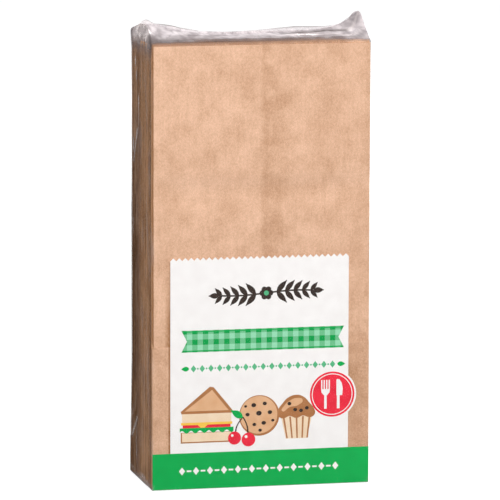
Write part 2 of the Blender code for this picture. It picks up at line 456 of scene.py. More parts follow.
def valley(x, z):
    """How deep the crease's valley is at one place, in metres: steep above the crease and easy below it."""
    away = z - CREASE_HEIGHT
    width = STEEP_SIDE * MM if away > 0 else (EASY_SIDE - 3 * x / HALF_WIDTH) * MM
    if abs(away) > width:
        return 0.0
    towards_side = max(0.0, abs(x) / HALF_WIDTH - 0.75) / 0.25
    return VALLEY_DEPTH * (0.5 + 0.5 * math.cos(math.pi * away / width)) * (1 - 0.6 * towards_side)


def follow_the_stack(points, share=0.0):
    """Moves points towards the front by the field, and back by their share of the valley."""
    for point in points:
        point[1] += share * valley(point[0], point[2]) - wave(point[0], point[2])
    return points


heights = [wave(x * MM, z * MM) / MM for x in range(-60, 61, 10) for z in range(0, 261, 10)]
print("the paper waves between", round(min(heights), 2), "and", round(max(heights), 2), "mm")

# %% [markdown]
# ## A folded bag
#
# A lunch bag is a paper tube with a pleat, the gusset, pressed into each side, and a square bottom that lies
# folded up against its front. It could be drawn as one long folded strip, but a box is simpler: a thin box
# without top and bottom is the tube, and its sides are pushed in by half the bag's depth to make the
# gussets. At the foot the gusset runs out in a 45 degree fold. Solidify then gives the shell the thickness
# of paper.

# %% Model the tube
TUBE_FRONT = BAG_LOW.y + 2 * PLY
TUBE_FOOT = BAG_BOTTOM + PLY
FLAP_TOP = BAG_BOTTOM + FLAP_HEIGHT
STRIP_TOP = BAG_BOTTOM + STRIP_HEIGHT
INNER_CREASE = HALF_WIDTH - GUSSET


def make_tube(name, cell, extra_x=()):
    """The gusseted tube, open at the mouth, with vertices everywhere it may bend."""
    tube = new_box(name, (-HALF_WIDTH, TUBE_FRONT, TUBE_FOOT), (HALF_WIDTH, BAG_HIGH.y, BAG_TOP))
    pleat = PLY + PAPER
    middle_y = (TUBE_FRONT + BAG_HIGH.y) / 2
    edit(tube)
    choose("FACE", lambda middle, normal: abs(normal.z) > 0.9)
    bpy.ops.mesh.delete(type="FACE")
    slice_up(1, [TUBE_FRONT + pleat, BAG_HIGH.y - pleat])
    for side in (-1, 1):
        choose("FACE", lambda middle, normal: normal.x * side > 0.9 and abs(middle.y - middle_y) < PLY)
        bpy.ops.mesh.extrude_region_move(TRANSFORM_OT_translate={"value": (-side * GUSSET, 0, 0)})
    slice_up(2, [STRIP_TOP])
    # Below that slice the inner crease slopes out to the side, which is the bottom's 45 degree fold.
    for side in (-1, 1):
        choose("VERT", lambda place, normal:
               abs(place.x - side * INNER_CREASE) < PAPER and place.z < TUBE_FOOT + PLY)
        bpy.ops.transform.translate(value=(side * (GUSSET - 2 * PLY), 0, 0))
    choose("EDGE", lambda middle, along: abs(along.z) > 0.9 and abs(abs(middle.x) - HALF_WIDTH) < PAPER)
    bpy.ops.mesh.bevel(offset=0.45 * pleat, segments=2, affect="EDGES")
    slice_up(0, steps(-HALF_WIDTH, -INNER_CREASE, cell) + [-INNER_CREASE]
             + steps(-INNER_CREASE, INNER_CREASE, cell) + [INNER_CREASE]
             + steps(INNER_CREASE, HALF_WIDTH, cell) + list(extra_x))
    slice_up(2, steps(TUBE_FOOT, STRIP_TOP, cell) + steps(STRIP_TOP, FLAP_TOP, cell) + [FLAP_TOP]
             + steps(FLAP_TOP, CREASE_HEIGHT - EASY_SIDE * MM, cell)
             + steps(CREASE_HEIGHT + 12 * MM, BAG_TOP, cell)
             + [CREASE_HEIGHT + shift * MM for shift in (-17, -13, -9, -6, -3, 0, 2, 4, 6, 8, 10, 12)])
    leave()
    finish_with(tube, "SOLIDIFY", thickness=PAPER, offset=-1)
    return tube


print("the gussets' inner creases lie", round(INNER_CREASE / MM, 1), "mm from the middle")

# %% [markdown]
# The bottom is a second thin box in front of the tube, with a foot that runs under it. On the real bag the
# paper is pasted there in several layers, which here are one slab.

# %% Model the folded-up bottom
def make_bottom(name, cell):
    """The folded-up bottom: two plies against the front, and one ply under the tube."""
    slab_back = BAG_LOW.y + PLY + PAPER
    slab = new_box(name, (-HALF_WIDTH, BAG_LOW.y, BAG_BOTTOM), (HALF_WIDTH, slab_back, FLAP_TOP))
    edit(slab)
    slice_up(2, [BAG_BOTTOM + PAPER])
    choose("FACE", lambda middle, normal: normal.y > 0.9 and middle.z < BAG_BOTTOM + PAPER)
    bpy.ops.mesh.extrude_region_move(TRANSFORM_OT_translate={"value": (0, BAG_HIGH.y - slab_back, 0)})
    choose("EDGE", lambda middle, along: abs(along.x) > 0.9 and middle.z < BAG_BOTTOM + PAPER / 4)
    bpy.ops.mesh.bevel(offset=0.9 * PAPER, segments=2, affect="EDGES")
    slice_up(0, steps(-HALF_WIDTH, HALF_WIDTH, cell))
    slice_up(2, steps(BAG_BOTTOM, FLAP_TOP, cell))
    leave()
    return slab


print("the bottom is folded up", round(FLAP_HEIGHT / MM, 1), "mm high")

# %% [markdown]
# The two are joined into one bag. Its back sheet bellies out a little between its two sides, so that no light
# passes between the bags.

# %% Join the bag
def join_pieces(pieces, name):
    """One object from several."""
    bpy.ops.object.select_all(action="DESELECT")
    for piece in pieces:
        piece.select_set(True)
    bpy.context.view_layer.objects.active = pieces[0]
    if len(pieces) > 1:
        bpy.ops.object.join()
    pieces[0].name = name
    return pieces[0]


def loosen(points):
    """Lets a bag's back sheet belly out, more so above the folded-up bottom, where the bags lie looser."""
    on_back = points[:, 1] > BAG_HIGH.y - 1.5 * PAPER
    inside = np.clip((HALF_WIDTH - np.abs(points[:, 0])) / (20 * MM), 0, 1)
    above_flap = np.clip((points[:, 2] - FLAP_TOP - 2 * MM) / (10 * MM), 0, 1)
    points[:, 1] += on_back * inside * (0.22 + 0.38 * above_flap) * MM
    return points


pattern_bag = join_pieces([make_tube("tube", 9 * MM), make_bottom("bottom", 9 * MM)], "bag_pattern")
write_points(pattern_bag, loosen(read_points(pattern_bag)))
print("a bag in the stack has", len(pattern_bag.data.polygons), "faces")

# %% [markdown]
# ## The front bag
#
# The front bag is the one in full view, so it has finer folds. Its bottom shows how such a bag is closed:
# two trapezoids of paper are folded over two triangles, and their slanting edges run in from the corners at
# 45 degrees. The trapezoids are extruded one ply out from the slab. The glued lap of the tube stands a
# little proud, right of the middle.

# %% Model the front bag
def in_triangle(x, z):
    """Whether a place on the folded-up bottom is on one of its two end triangles."""
    return HALF_WIDTH - abs(x) < STRIP_HEIGHT - abs(z - (BAG_BOTTOM + FLAP_TOP) / 2)


def make_front_bottom(name, cell):
    """The front bag's bottom, with its two end triangles one ply behind the rest."""
    slab = make_bottom(name, cell)
    edit(slab)
    for side in (-1, 1):
        for end, slant in ((BAG_BOTTOM, -side), (FLAP_TOP, side)):
            bpy.ops.mesh.select_all(action="SELECT")
            bpy.ops.mesh.bisect(plane_co=(side * HALF_WIDTH, 0, end), plane_no=(1, 0, -slant))
    choose("FACE", lambda middle, normal: normal.y < -0.9 and in_triangle(middle.x, middle.z))
    bpy.ops.mesh.extrude_region_move(TRANSFORM_OT_translate={"value": (0, 0.8 * PAPER, 0)})
    leave()
    return slab


LAP_EDGES = [edge + shift for edge in (0, LAP_WIDTH) for shift in (-0.35 * MM, 0.35 * MM)]
LEFT_EDGE = [-HALF_WIDTH + inset * MM for inset in (0.2, 0.45, 0.7, 1.0)]
# The printed sheet's left edge gets a thin painted shadow on the bag beside it, which needs these cuts.
PANEL_LEFT = -HALF_WIDTH + 10.9 * MM
SHEET_SHADOW = [PANEL_LEFT - 1.3 * MM, PANEL_LEFT - 0.6 * MM, PANEL_LEFT + 1.5 * MM]
front_tube = make_tube("tube", 3.2 * MM, extra_x=LAP_EDGES + LEFT_EDGE + SHEET_SHADOW)
front_bottom = make_front_bottom("bottom", 3.2 * MM)
edit(front_bottom)
slice_up(0, SHEET_SHADOW)
slice_up(2, [FLAP_TOP - 2.5 * MM, FLAP_TOP - 1.2 * MM])
leave()
front_bag = join_pieces([front_tube, front_bottom], "bag_01_folded")
print("the front bag has", len(front_bag.data.polygons), "faces")

# %% [markdown]
# The front sheet is a little crumpled, and stands a hair higher over the glued lap. Its left edge is a fold,
# which turns away from the camera, and from 60 mm up it lies a little further in than the next bag's.

# %% Crumple the front bag
LAP_RISE = 0.05 * MM
NARROWER = 0.7 * MM
NARROW_FROM = BAG_BOTTOM + 60 * MM
TURNED_EDGE = 0.95 * MM

points = loosen(read_points(front_bag))
for point in points:
    x, y, z = point
    crumple = 0.0
    if y < TUBE_FRONT + PAPER:
        broad = noise_at(x / (11 * MM), 5.5, z / (15 * MM))
        fine = noise_at(x / (5 * MM), 2.5, z / (8 * MM))
        crumple = (0.13 * broad + 0.035 * fine) * MM
        if z > FLAP_TOP and 0 <= x <= LAP_WIDTH:
            crumple += LAP_RISE
    if z > FLAP_TOP:
        y += 0.2 * MM * max(0.0, (x + HALF_WIDTH - TURNED_EDGE) / -TURNED_EDGE) ** 2
    y -= crumple
    if y > TUBE_FRONT - PLY / 2 and z > NARROW_FROM:
        x += NARROWER * min(1.0, (z - NARROW_FROM) / (20 * MM)) * (0.5 - x / (2 * HALF_WIDTH))
    point[:] = x, y, z
print("the front bag is now", round((points[:, 1].max() - points[:, 1].min()) / MM, 2), "mm thick")

# %% [markdown]
# Its colour changes are worked out before the field moves it, and they are painted light. The front is
# painted darker towards the right and the bottom, and the folded-up bottom darker than the tube, darker still
# over the two triangles, where the paper lies one ply deeper. The tube's left edge and the line beside the
# printed sheet get painted shadows, and the cut top edge of the bottom a pale painted highlight.

# %% Shade the front bag
front_painted_light = []
for x, y, z in points:
    # Painted shade: darker towards the right and towards the bottom.
    tint_and_painted_light = 0.12 + 0.09 * x / HALF_WIDTH + 0.10 * (0.5 - z / BAG_TOP)
    # Painted shade on the folded-up bottom, more on its triangles, and a pale painted highlight along its top
    # edge.
    if z < FLAP_TOP + PAPER and y < TUBE_FRONT - PLY / 2:
        tint_and_painted_light += 0.21 + 0.04 * x / HALF_WIDTH - 0.4 * max(0.0, 1 - (FLAP_TOP - z) / (1.5 * MM))
        tint_and_painted_light += 0.12 if in_triangle(x, z) else 0.0
    # Painted shadow of the printed sheet's left edge, darker lower down.
    if PANEL_LEFT - MM < x < PANEL_LEFT + MM and z < BAG_BOTTOM + 138 * MM:
        tint_and_painted_light += 0.4 + 0.9 * min(1.0, max(0.0, (BAG_BOTTOM + 122 * MM - z) / (18 * MM)))
    # Painted shade on the tube's left edge, which turns away from the light.
    if z > FLAP_TOP and x < NARROWER - HALF_WIDTH + 0.3 * MM:
        tint_and_painted_light += 1.2
    front_painted_light.append(tint_and_painted_light)
write_points(front_bag, follow_the_stack(points, 1.0))
print("the front bag's tints run from", round(min(front_painted_light), 2), "to", round(max(front_painted_light), 2))

# %% [markdown]
# ## Fifty bags
#
# The stack is the same bag again and again, but never quite in the same place: one lies a fraction of a
# millimetre further left, the next leans, and their mouths end at slightly different heights. The bags come
# off the machine in bundles, and each bundle lies a little further in or out. Each is also a little paler or
# darker, partly in its paper and partly by painted shade on the bundles that lie further in, which draws the
# broad upright bands on the pack's side. At the back the bags are pushed in, and the film follows them. Each
# copy has its own mesh, its own shift and its own colour of paper with its painted shade.

# %% Copy the bag through the stack
def finish_bag(piece, node, material, tints_and_painted_light):
    """Gives a bag its paper, its vertex numbers of paler or darker paper and painted light, and its smooth
    shading; hides its CAD part and hangs it on the root body.
    """
    piece.data.materials.clear()
    piece.data.materials.append(material)
    store(piece, "tint_and_painted_light", tints_and_painted_light)
    smooth(piece, 35)
    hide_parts(node)
    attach(piece, "root")


finish_bag(front_bag, "bag_01", kraft_front, front_painted_light)

# Bundles from the front, as (first bag, how far in on the left in mm, how much darker its paper is, with
# painted shade added where it lies further in).
BUNDLES = [(1, 0.0, -0.25), (3, 0.5, 0.3), (4, 0.9, 0.8), (7, 0.35, 0.2), (10, 0.1, -0.15),
           (14, 0.3, 0.15), (16, 0.1, -0.1), (20, 0.45, 0.3), (22, 0.2, 0.05), (27, 0.8, 0.6),
           (38, 0.9, 0.25), (45, 1.4, 0.9), (49, 1.2, 0.1)]


def bundle_of(number):
    """How far in a bag lies, in mm, and how much darker it is, with painted shade where its bundle lies
    further in.
    """
    return [row[1:] for row in BUNDLES if row[0] <= number][-1]


def mouth_height(number):
    """How far a bag's mouth stands above the front bag's, in mm. The second bag stands tallest."""
    if number < 4:
        return 2.0 - 0.35 * (number - 1)
    return 0.7 - 0.5 * (number - 4) / (len(BAGS) - 5)


pattern_points = read_points(pattern_bag)
for number, node in enumerate(BAGS[1:], start=1):
    left_in, tint_and_painted_light = bundle_of(number)
    left_in += random.uniform(-0.12, 0.12) if number > 2 else 0.0
    left_in = max(0.0, left_in)
    right_in = random.uniform(0, 0.5)
    taller = mouth_height(number) + random.uniform(-0.25, 0.25)
    lean = random.uniform(-0.35, 0.35)

    points = pattern_points.copy()
    height = (points[:, 2] - BAG_BOTTOM) / (BAG_TOP - BAG_BOTTOM)
    share = (points[:, 0] + HALF_WIDTH) / (2 * HALF_WIDTH)
    grown = np.clip((points[:, 2] - BAG_BOTTOM) / (70 * MM), 0, 1)
    points[:, 0] += (left_in * (1 - share) - right_in * share) * grown * MM + 0.3 * lean * height * MM
    points[:, 2] += taller * MM * height ** 2
    points = follow_the_stack(points, max(0.15, 1 - number / 14))
    points[:, 1] += number * PITCH

    # The bundle's value with its painted shade, and a little paler or darker paper for each bag.
    tints_and_painted_light = np.full(len(points), tint_and_painted_light + random.uniform(-0.12, 0.12))
    if number < 3:
        # Just behind the front bag's left edge and mouth, painted shade darkens the paper, more to the left
        # at the mouth.
        on_edge = (points[:, 0] < 0.8 * MM - HALF_WIDTH) & (pattern_points[:, 1] < TUBE_FRONT + 0.05 * PLY)
        tints_and_painted_light[on_edge & (pattern_points[:, 2] > FLAP_TOP + MM)] = 1.2
        at_mouth = height > 0.999
        tints_and_painted_light[at_mouth] = 0.75 - 0.6 * points[at_mouth, 0] / HALF_WIDTH

    bag = pattern_bag.copy()
    bag.data = pattern_bag.data.copy()
    bag.name = node + "_folded"
    bpy.context.collection.objects.link(bag)
    write_points(bag, points)
    finish_bag(bag, node, kraft_back if node == BAGS[-1] else kraft_stack, tints_and_painted_light)
bpy.data.objects.remove(pattern_bag)
print(len(BAGS), "bags folded")

# %% [markdown]
# ## Inks and coated paper
#
# The sheet is white coated paper, offset printed: the ink lies in the coating, so colours are even, with the
# soft satin shine of the coating. Its fibres telegraph through as a very slight waviness. Each ink varies a
# few per cent in strength, which keeps large fields from looking like plastic.

# %% Printed paper
def print_material(name, colour, deeper, pattern=None):
    """Ink on coated paper, slightly uneven between two colours, or an ink pattern."""
    material, tree = new_material(name)
    place = add_node(tree, "TexCoord").outputs["Object"]
    uneven = add_node(tree, "TexNoise", {"Vector": place, "Scale": 1 / (7 * MM), "Detail": 5})
    if pattern:
        share = pattern(tree, place)
    else:
        share = add_node(tree, "MapRange", {"Value": uneven, "From Min": 0.3, "From Max": 0.7})
    ink = add_node(tree, "Mix", {0: share, 6: linear(colour), 7: linear(deeper)},
                   data_type="RGBA", clamp_factor=True)
    tooth = add_node(tree, "TexNoise", {"Vector": place, "Scale": 1 / (0.8 * MM), "Detail": 2})
    bump = add_node(tree, "Bump", {"Height": tooth, "Strength": 0.12, "Distance": 0.02 * MM})
    rough = add_node(tree, "MapRange", {"Value": uneven, "To Min": 0.5, "To Max": 0.62})
    paper_shader = add_node(tree, "BsdfPrincipled", {
        "Base Color": ink, "Roughness": rough, "Specular IOR Level": 0.22,
        "Normal": bump})
    add_node(tree, "OutputMaterial", {"Surface": paper_shader})
    return material


CHECK = 3.26 * MM  # the width of one check


def gingham(tree, place):
    """Gingham: bands across and bands down, so a square is white, half green or full green."""
    split = add_node(tree, "SeparateXYZ", {0: place})
    bands = []
    for way in ("X", "Z"):
        turns = add_node(tree, "Math", {0: split.outputs[way], 1: 1 / (2 * CHECK)}, operation="MULTIPLY")
        part = add_node(tree, "Math", {0: turns}, operation="FRACT")
        bands.append(add_node(tree, "Math", {0: part, 1: 0.5}, operation="GREATER_THAN"))
    both = add_node(tree, "Math", {0: bands[0], 1: bands[1]}, operation="ADD")
    return add_node(tree, "Math", {0: both, 1: 0.5}, operation="MULTIPLY")


INKS = {
    "white": print_material("coated_paper_white", "#F6F3F1", "#F0ECEA"),
    "green": print_material("offset_ink_green", "#00A94E", "#00A149"),
    "pale_green": print_material("offset_ink_pale_green", "#5FB987", "#4FAE79"),
    "gingham": print_material("offset_ink_gingham", "#94D6B0", "#009A48", gingham),
    "red": print_material("offset_ink_red", "#EE2F44", "#E0263B"),
    "dark": print_material("offset_ink_dark_brown", "#33261F", "#2A201B"),
    "crust": print_material("offset_ink_crust_brown", "#B0784C", "#A56D42"),
    "bread": print_material("offset_ink_bread", "#E2B48C", "#D9A67B"),
    "crumb": print_material("offset_ink_crumb", "#F1D9BC", "#EBCFAE"),
    "cheese": print_material("offset_ink_cheese", "#F7C95A", "#F2C04C"),
}
print(len(INKS), "inks")

# %% [markdown]
# ## The printed sheet
#
# The sheet has a full-width green foot and a narrower white panel, with pinking teeth along its top and a
# round bulge that carries the badge. It is drawn as a flat curve and made a mesh. Its bottom edge is then
# extruded back under the pack and up behind it, as the paper is folded, and Solidify gives it its thickness.
#
# What is printed on the sheet is made in the same way, so two helpers do it for both: one fills outlines, and
# the other cuts a flat piece into cells.

# %% Helpers for flat shapes
SHEET_CELL = 4 * MM


def flat_mesh(name, outlines, smooth=False):
    """A flat face in the XZ plane from closed outlines of (x, z). An outline inside another is a hole."""
    bpy.ops.object.select_all(action="DESELECT")
    data = bpy.data.curves.new(name, "CURVE")
    data.dimensions = "2D"
    data.fill_mode = "BOTH"
    data.resolution_u = 5
    for outline in outlines:
        spline = data.splines.new("BEZIER" if smooth else "POLY")
        places = spline.bezier_points if smooth else spline.points
        places.add(len(outline) - 1)
        for knot, (x, z) in zip(places, outline):
            knot.co = (x, z, 0) if smooth else (x, z, 0, 1)
            if smooth:
                knot.handle_left_type = knot.handle_right_type = "AUTO"
        spline.use_cyclic_u = True
    flat = bpy.data.objects.new(name, data)
    bpy.context.collection.objects.link(flat)
    bpy.context.view_layer.objects.active = flat
    flat.select_set(True)
    bpy.ops.object.convert(target="MESH")
    flat = bpy.context.object
    flat.rotation_euler = (math.pi / 2, 0, 0)
    bpy.ops.object.transform_apply(location=True, rotation=True, scale=True)
    edit(flat)
    bpy.ops.mesh.select_all(action="SELECT")
    bpy.ops.mesh.remove_doubles(threshold=0.01 * MM)
    choose("FACE", lambda middle, normal: normal.y > 0)
    bpy.ops.mesh.flip_normals()
    leave()
    return flat


def slice_flat(piece):
    """Cuts a flat piece into cells on one grid for the whole sheet, so that all layers bend alike."""
    points = read_points(piece)
    edit(piece)
    for axis in (0, 2):
        first = math.ceil(points[:, axis].min() / SHEET_CELL)
        last = math.floor(points[:, axis].max() / SHEET_CELL)
        slice_up(axis, [n * SHEET_CELL for n in range(first, last + 1)])
    leave()


print("flat shapes are cut every", round(SHEET_CELL / MM, 1), "mm")

# %% [markdown]
# The outline runs anticlockwise from the lower left corner: along the foot, up the panel's right edge and
# round the bulge, back along the teeth, and down the left edge.

# %% Draw the sheet's outline
BAND_TOP = SHEET_LOW.z + 22.0 * MM
PANEL_RIGHT = HALF_WIDTH - 12.9 * MM
TEETH_TOP = SHEET_LOW.z + 140.4 * MM
TOOTH_HEIGHT = 1.8 * MM
TEETH = 30
BADGE = Vector((HALF_WIDTH - 22.8 * MM, 0, SHEET_LOW.z + 54.8 * MM))
BULGE_RADIUS = 14.9 * MM


def sheet_outline():
    """The sheet's front, anticlockwise from its lower left corner."""
    corners = [(-HALF_WIDTH, SHEET_LOW.z), (HALF_WIDTH, SHEET_LOW.z), (HALF_WIDTH, BAND_TOP),
               (PANEL_RIGHT, BAND_TOP)]
    reach = math.acos((PANEL_RIGHT - BADGE.x) / BULGE_RADIUS)  # half the angle of the bulge's arc
    for step in range(19):
        turn = -reach + 2 * reach * step / 18
        corners.append((BADGE.x + BULGE_RADIUS * math.cos(turn), BADGE.z + BULGE_RADIUS * math.sin(turn)))
    tooth = (PANEL_RIGHT - PANEL_LEFT) / TEETH
    for number in range(TEETH):
        corners.append((PANEL_RIGHT - number * tooth, TEETH_TOP - TOOTH_HEIGHT))
        corners.append((PANEL_RIGHT - (number + 0.5) * tooth, TEETH_TOP))
    corners += [(PANEL_LEFT, TEETH_TOP - TOOTH_HEIGHT), (PANEL_LEFT, BAND_TOP), (-HALF_WIDTH, BAND_TOP)]
    return corners


print("the sheet's outline has", len(sheet_outline()), "corners")

# %% [markdown]
# The flat sheet lies on the front bag. Two extrusions of its bottom edge fold it under and up, and a bevel
# rounds both folds.

# %% Cut and fold the sheet
SHEET_THICK = 0.15 * MM
SHEET_FRONT = SHEET_LOW.y

sheet = flat_mesh("printed_sheet_folded", [sheet_outline()])
slice_flat(sheet)
points = read_points(sheet)
points[:, 1] = SHEET_FRONT
write_points(sheet, points)
edit(sheet)
slice_up(2, [BAND_TOP])
choose("EDGE", lambda middle, along: middle.z < SHEET_LOW.z + PAPER)
bpy.ops.mesh.extrude_region_move(TRANSFORM_OT_translate={"value": (0, SHEET_HIGH.y - SHEET_LOW.y, 0)})
bpy.ops.mesh.extrude_region_move(TRANSFORM_OT_translate={"value": (0, 0, BAND_TOP - SHEET_LOW.z)})
choose("EDGE", lambda middle, along: abs(along.x) > 0.9 and middle.z < SHEET_LOW.z + PAPER)
bpy.ops.mesh.bevel(offset=0.4 * MM, segments=3, affect="EDGES")
bpy.ops.mesh.select_all(action="SELECT")
bpy.ops.mesh.normals_make_consistent(inside=False)
# An open sheet has no inside, so the result is turned round if its front faces the bags.
choose("FACE", lambda middle, normal: normal.y > 0.9 and middle.y < 0)
wrong_way = sum(face.select for face in bmesh.from_edit_mesh(sheet.data).faces)
if wrong_way:
    bpy.ops.mesh.select_all(action="SELECT")
    bpy.ops.mesh.flip_normals()
leave()
finish_with(sheet, "SOLIDIFY", thickness=SHEET_THICK, offset=-1)
print("sheet:", len(sheet.data.polygons), "faces")

# %% [markdown]
# The sheet is white with a green foot, and the green runs on under the pack and up its back. Only its outside
# is printed. A piece can have several materials, and in edit mode the selected faces get the active one.

# %% Colour the sheet
def outside_foot(middle, normal):
    """Whether a face is on the outside of the sheet's green part: its foot, its turn or its back."""
    on_front = normal.y < -0.9 and middle.y < 0 and middle.z < BAND_TOP
    on_back = normal.y > 0.9 and middle.y > SHEET_HIGH.y - SHEET_THICK / 2
    on_turn = middle.z < SHEET_LOW.z + 0.5 * MM and normal.z < -0.2
    return on_front or on_back or on_turn


for ink in ("white", "green"):
    sheet.data.materials.append(INKS[ink])
edit(sheet)
choose("FACE", outside_foot)
sheet.active_material_index = 1
bpy.ops.object.material_slot_assign()
leave()
write_points(sheet, follow_the_stack(read_points(sheet)))
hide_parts("printed_sheet")
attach(sheet, "root")
print(sum(face.material_index for face in sheet.data.polygons), "faces of the sheet are green")

# %% [markdown]
# ## The printed design
#
# The print is a plain lunch theme of flat shapes: a leaf sprig, a gingham ribbon, a row of diamonds, a
# sandwich, a cookie, a muffin and cherries, and a fork and knife on the red badge. Each shape is a flat curve
# that becomes a mesh, is cut on the sheet's own grid and lies on it one thin layer up, so it bends with the
# paper. Outlines are in millimetres, seen from the front, with heights above the pack's foot.

# %% Helpers for printed shapes
INK_LAYER = 0.03 * MM


def circle(x, z, radius, count=40, squash=1.0):
    """A circle with so many corners, flattened by its squash."""
    turns = [math.tau * n / count for n in range(count)]
    return [(x + radius * math.cos(turn), z + squash * radius * math.sin(turn)) for turn in turns]


def bar(x_low, z_low, x_high, z_high):
    """A rectangle between two corners."""
    return [(x_low, z_low), (x_high, z_low), (x_high, z_high), (x_low, z_high)]


def leaf(x, z, length, width, turn):
    """A pointed leaf whose stalk is at (x, z). Its side bulges most a little before its middle."""
    side = [(0.0, 0.0), (0.12, 0.28), (0.3, 0.47), (0.5, 0.48), (0.72, 0.32), (0.88, 0.13), (1.0, 0.0)]
    around = side + [(along, -out) for along, out in reversed(side[1:-1])]
    c, s = math.cos(math.radians(turn)), math.sin(math.radians(turn))
    return [(x + length * along * c - width * out * s, z + length * along * s + width * out * c)
            for along, out in around]


def print_shape(name, layer, ink, outlines, smooth=False):
    """One flat printed shape on the sheet, in its own ink. Layer 1 lies on the paper and 2 on layer 1."""
    piece = flat_mesh(name, [[(x * MM, z * MM) for x, z in outline] for outline in outlines], smooth)
    slice_flat(piece)
    points = read_points(piece)
    points[:, 1] = SHEET_FRONT - (layer - 1) * INK_LAYER
    write_points(piece, follow_the_stack(points))
    finish_with(piece, "SOLIDIFY", thickness=INK_LAYER, offset=1)
    piece.data.materials.append(INKS[ink])
    return piece


def print_motif(name, shapes):
    """Joins the shapes of one motif: each is (layer, ink, outlines) or (layer, ink, outlines, smooth)."""
    motif = join_pieces([print_shape(name, *shape) for shape in shapes], name)
    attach(motif, "root")
    return motif


print("one leaf has", len(leaf(0, 0, 9, 3, 0)), "corners and one circle", len(circle(0, 0, 1)))

# %% [markdown]
# The sprig is the darkest thing on the sheet: a slightly curved stem with pairs of leaves that get smaller
# towards both ends, and a flower with a green eye in the middle. The ribbon has swallowtail ends.

# %% Print the sprig, the ribbon and the rows
SPRIG_X, SPRIG_Z = 3.0, 118.2
SPRIG_HALF = 29


def on_stem(reach):
    """The place on the curved stem this far right of its middle."""
    return SPRIG_X + reach, SPRIG_Z + 1.2 * math.sin(reach / 12)


stem = [on_stem(SPRIG_HALF * (step / 6 - 1)) for step in range(13)]
stem = [(x, z - 0.5) for x, z in stem] + [(x, z + 0.5) for x, z in reversed(stem)]
leaves = []
for number in range(5):
    length, width = 9.2 - 0.7 * number, 3.4 - 0.2 * number
    for side in (-1, 1):
        for up in (-1, 1):
            turn = up * 48 if side > 0 else 180 - up * 48
            leaves.append(leaf(*on_stem(side * (6.5 + 5.2 * number)), length, width, turn))
leaves += [leaf(*on_stem(-SPRIG_HALF), 6.5, 3.4, 180), leaf(*on_stem(SPRIG_HALF), 6.5, 3.4, 0)]
petals = [circle(SPRIG_X + x, SPRIG_Z + z, 1.75, 20) for x, z in circle(0, 0, 2.5, 6)]
# Neighbours overlap, so they take turns between two layers.
print_motif("printed_sprig",
            [(1, "dark", [stem])]
            + [(1 + n % 2, "dark", [outline], True) for n, outline in enumerate(leaves)]
            + [(3 + n % 2, "dark", [petal]) for n, petal in enumerate(petals)]
            + [(5, "pale_green", [circle(SPRIG_X, SPRIG_Z, 1.5)])])

ribbon = [(-49, 83.6), (51, 83.6), (47.6, 90.2), (51, 96.8), (-49, 96.8), (-45.6, 90.2)]
print_motif("printed_ribbon", [
    (1, "gingham", [ribbon]),
    (2, "green", [bar(-47.3, 95.7, 49.3, 96.3)]),
    (2, "green", [bar(-47.3, 84.1, 49.3, 84.7)]),
])

diamonds, dots = [], []
for number in range(17):
    x = -41.6 + 5.35 * number
    diamonds.append([(x - 1.7, 73.6), (x, 71.4), (x + 1.7, 73.6), (x, 75.8)])
    if number < 16:
        dots.append(circle(x + 2.67, 73.6, 0.55, 12))
ends = [leaf(-44.2, 73.6, 5.0, 3.0, 180), leaf(46.9, 73.6, 5.0, 3.0, 0)]
print_motif("printed_diamond_row", [(1, "pale_green", diamonds), (1, "pale_green", dots), (1, "green", ends)])

dashes = []
for number in range(12):
    x = -48.6 + 8.6 * number
    dashes.append([(x - 1.9, 11.4), (x, 9.0), (x + 1.9, 11.4), (x, 13.8)])
    if number < 11:
        dashes.append(bar(x + 2.9, 10.9, x + 5.7, 11.9))
print_motif("printed_foot_row", [(1, "white", dashes)])
print("sprig, ribbon and rows printed")

# %% [markdown]
# The food is drawn as simple as a sign: a cut sandwich with its filling showing, a cookie with dark chips, a
# muffin in its paper cup, and two cherries, which bring the badge's red to the other side of the sheet.

# %% Print the lunch
def wavy(x_low, x_high, z_low, z_high, waves, depth):
    """A strip whose lower edge is wavy, like a lettuce leaf."""
    count = waves * 6
    step = (x_high - x_low) / count
    lower = [(x_low + step * n, z_low + depth * math.sin(math.tau * n / 6)) for n in range(count + 1)]
    return lower + [(x_high, z_high), (x_low, z_high)]


print_motif("printed_sandwich", [
    (1, "crust", [[(-49.5, 47.6), (-48.5, 45.4), (-18.5, 45.4), (-17.5, 47.6), (-29.2, 62.0),
                   (-31.6, 62.4)]]),
    (2, "bread", [[(-47.0, 47.8), (-20.0, 47.8), (-30.2, 60.4)]]),
    (2, "crumb", [bar(-48.6, 40.6, -18.4, 46.2)]),
    (2, "crumb", [bar(-48.6, 29.2, -18.4, 34.6)]),
    (1, "crust", [bar(-49.4, 28.4, -17.6, 34.9)]),
    (3, "cheese", [[(-49.2, 40.9), (-49.2, 39.4), (-39.0, 39.4), (-36.0, 36.6), (-33.0, 39.4),
                    (-17.8, 39.4), (-17.8, 40.9)]]),
    (2, "red", [bar(-48.2, 37.2, -18.8, 39.6)]),
    (3, "green", [wavy(-50.0, -17.0, 35.2, 37.6, 6, 0.9)]),
])
chips = [(-4.6, 50.2, 1.5), (2.2, 51.0, 1.3), (-8.4, 44.6, 1.3), (-1.4, 45.2, 1.7), (5.4, 45.6, 1.4),
         (1.6, 39.2, 1.4), (7.2, 40.6, 1.0), (-4.2, 38.4, 1.2), (-9.6, 49.6, 0.9), (-0.6, 34.8, 1.1)]
print_motif("printed_cookie", [
    (1, "crust", [circle(-1.2, 43.8, 12.4, 56)]),
    (2, "bread", [circle(-1.5, 44.2, 11.5, 56)]),
    (3, "dark", [circle(x, z, r, 16, 0.86) for x, z, r in chips]),
])
cup = [(15.2, 29.0), (28.4, 29.0), (31.4, 42.6), (12.2, 42.6)]
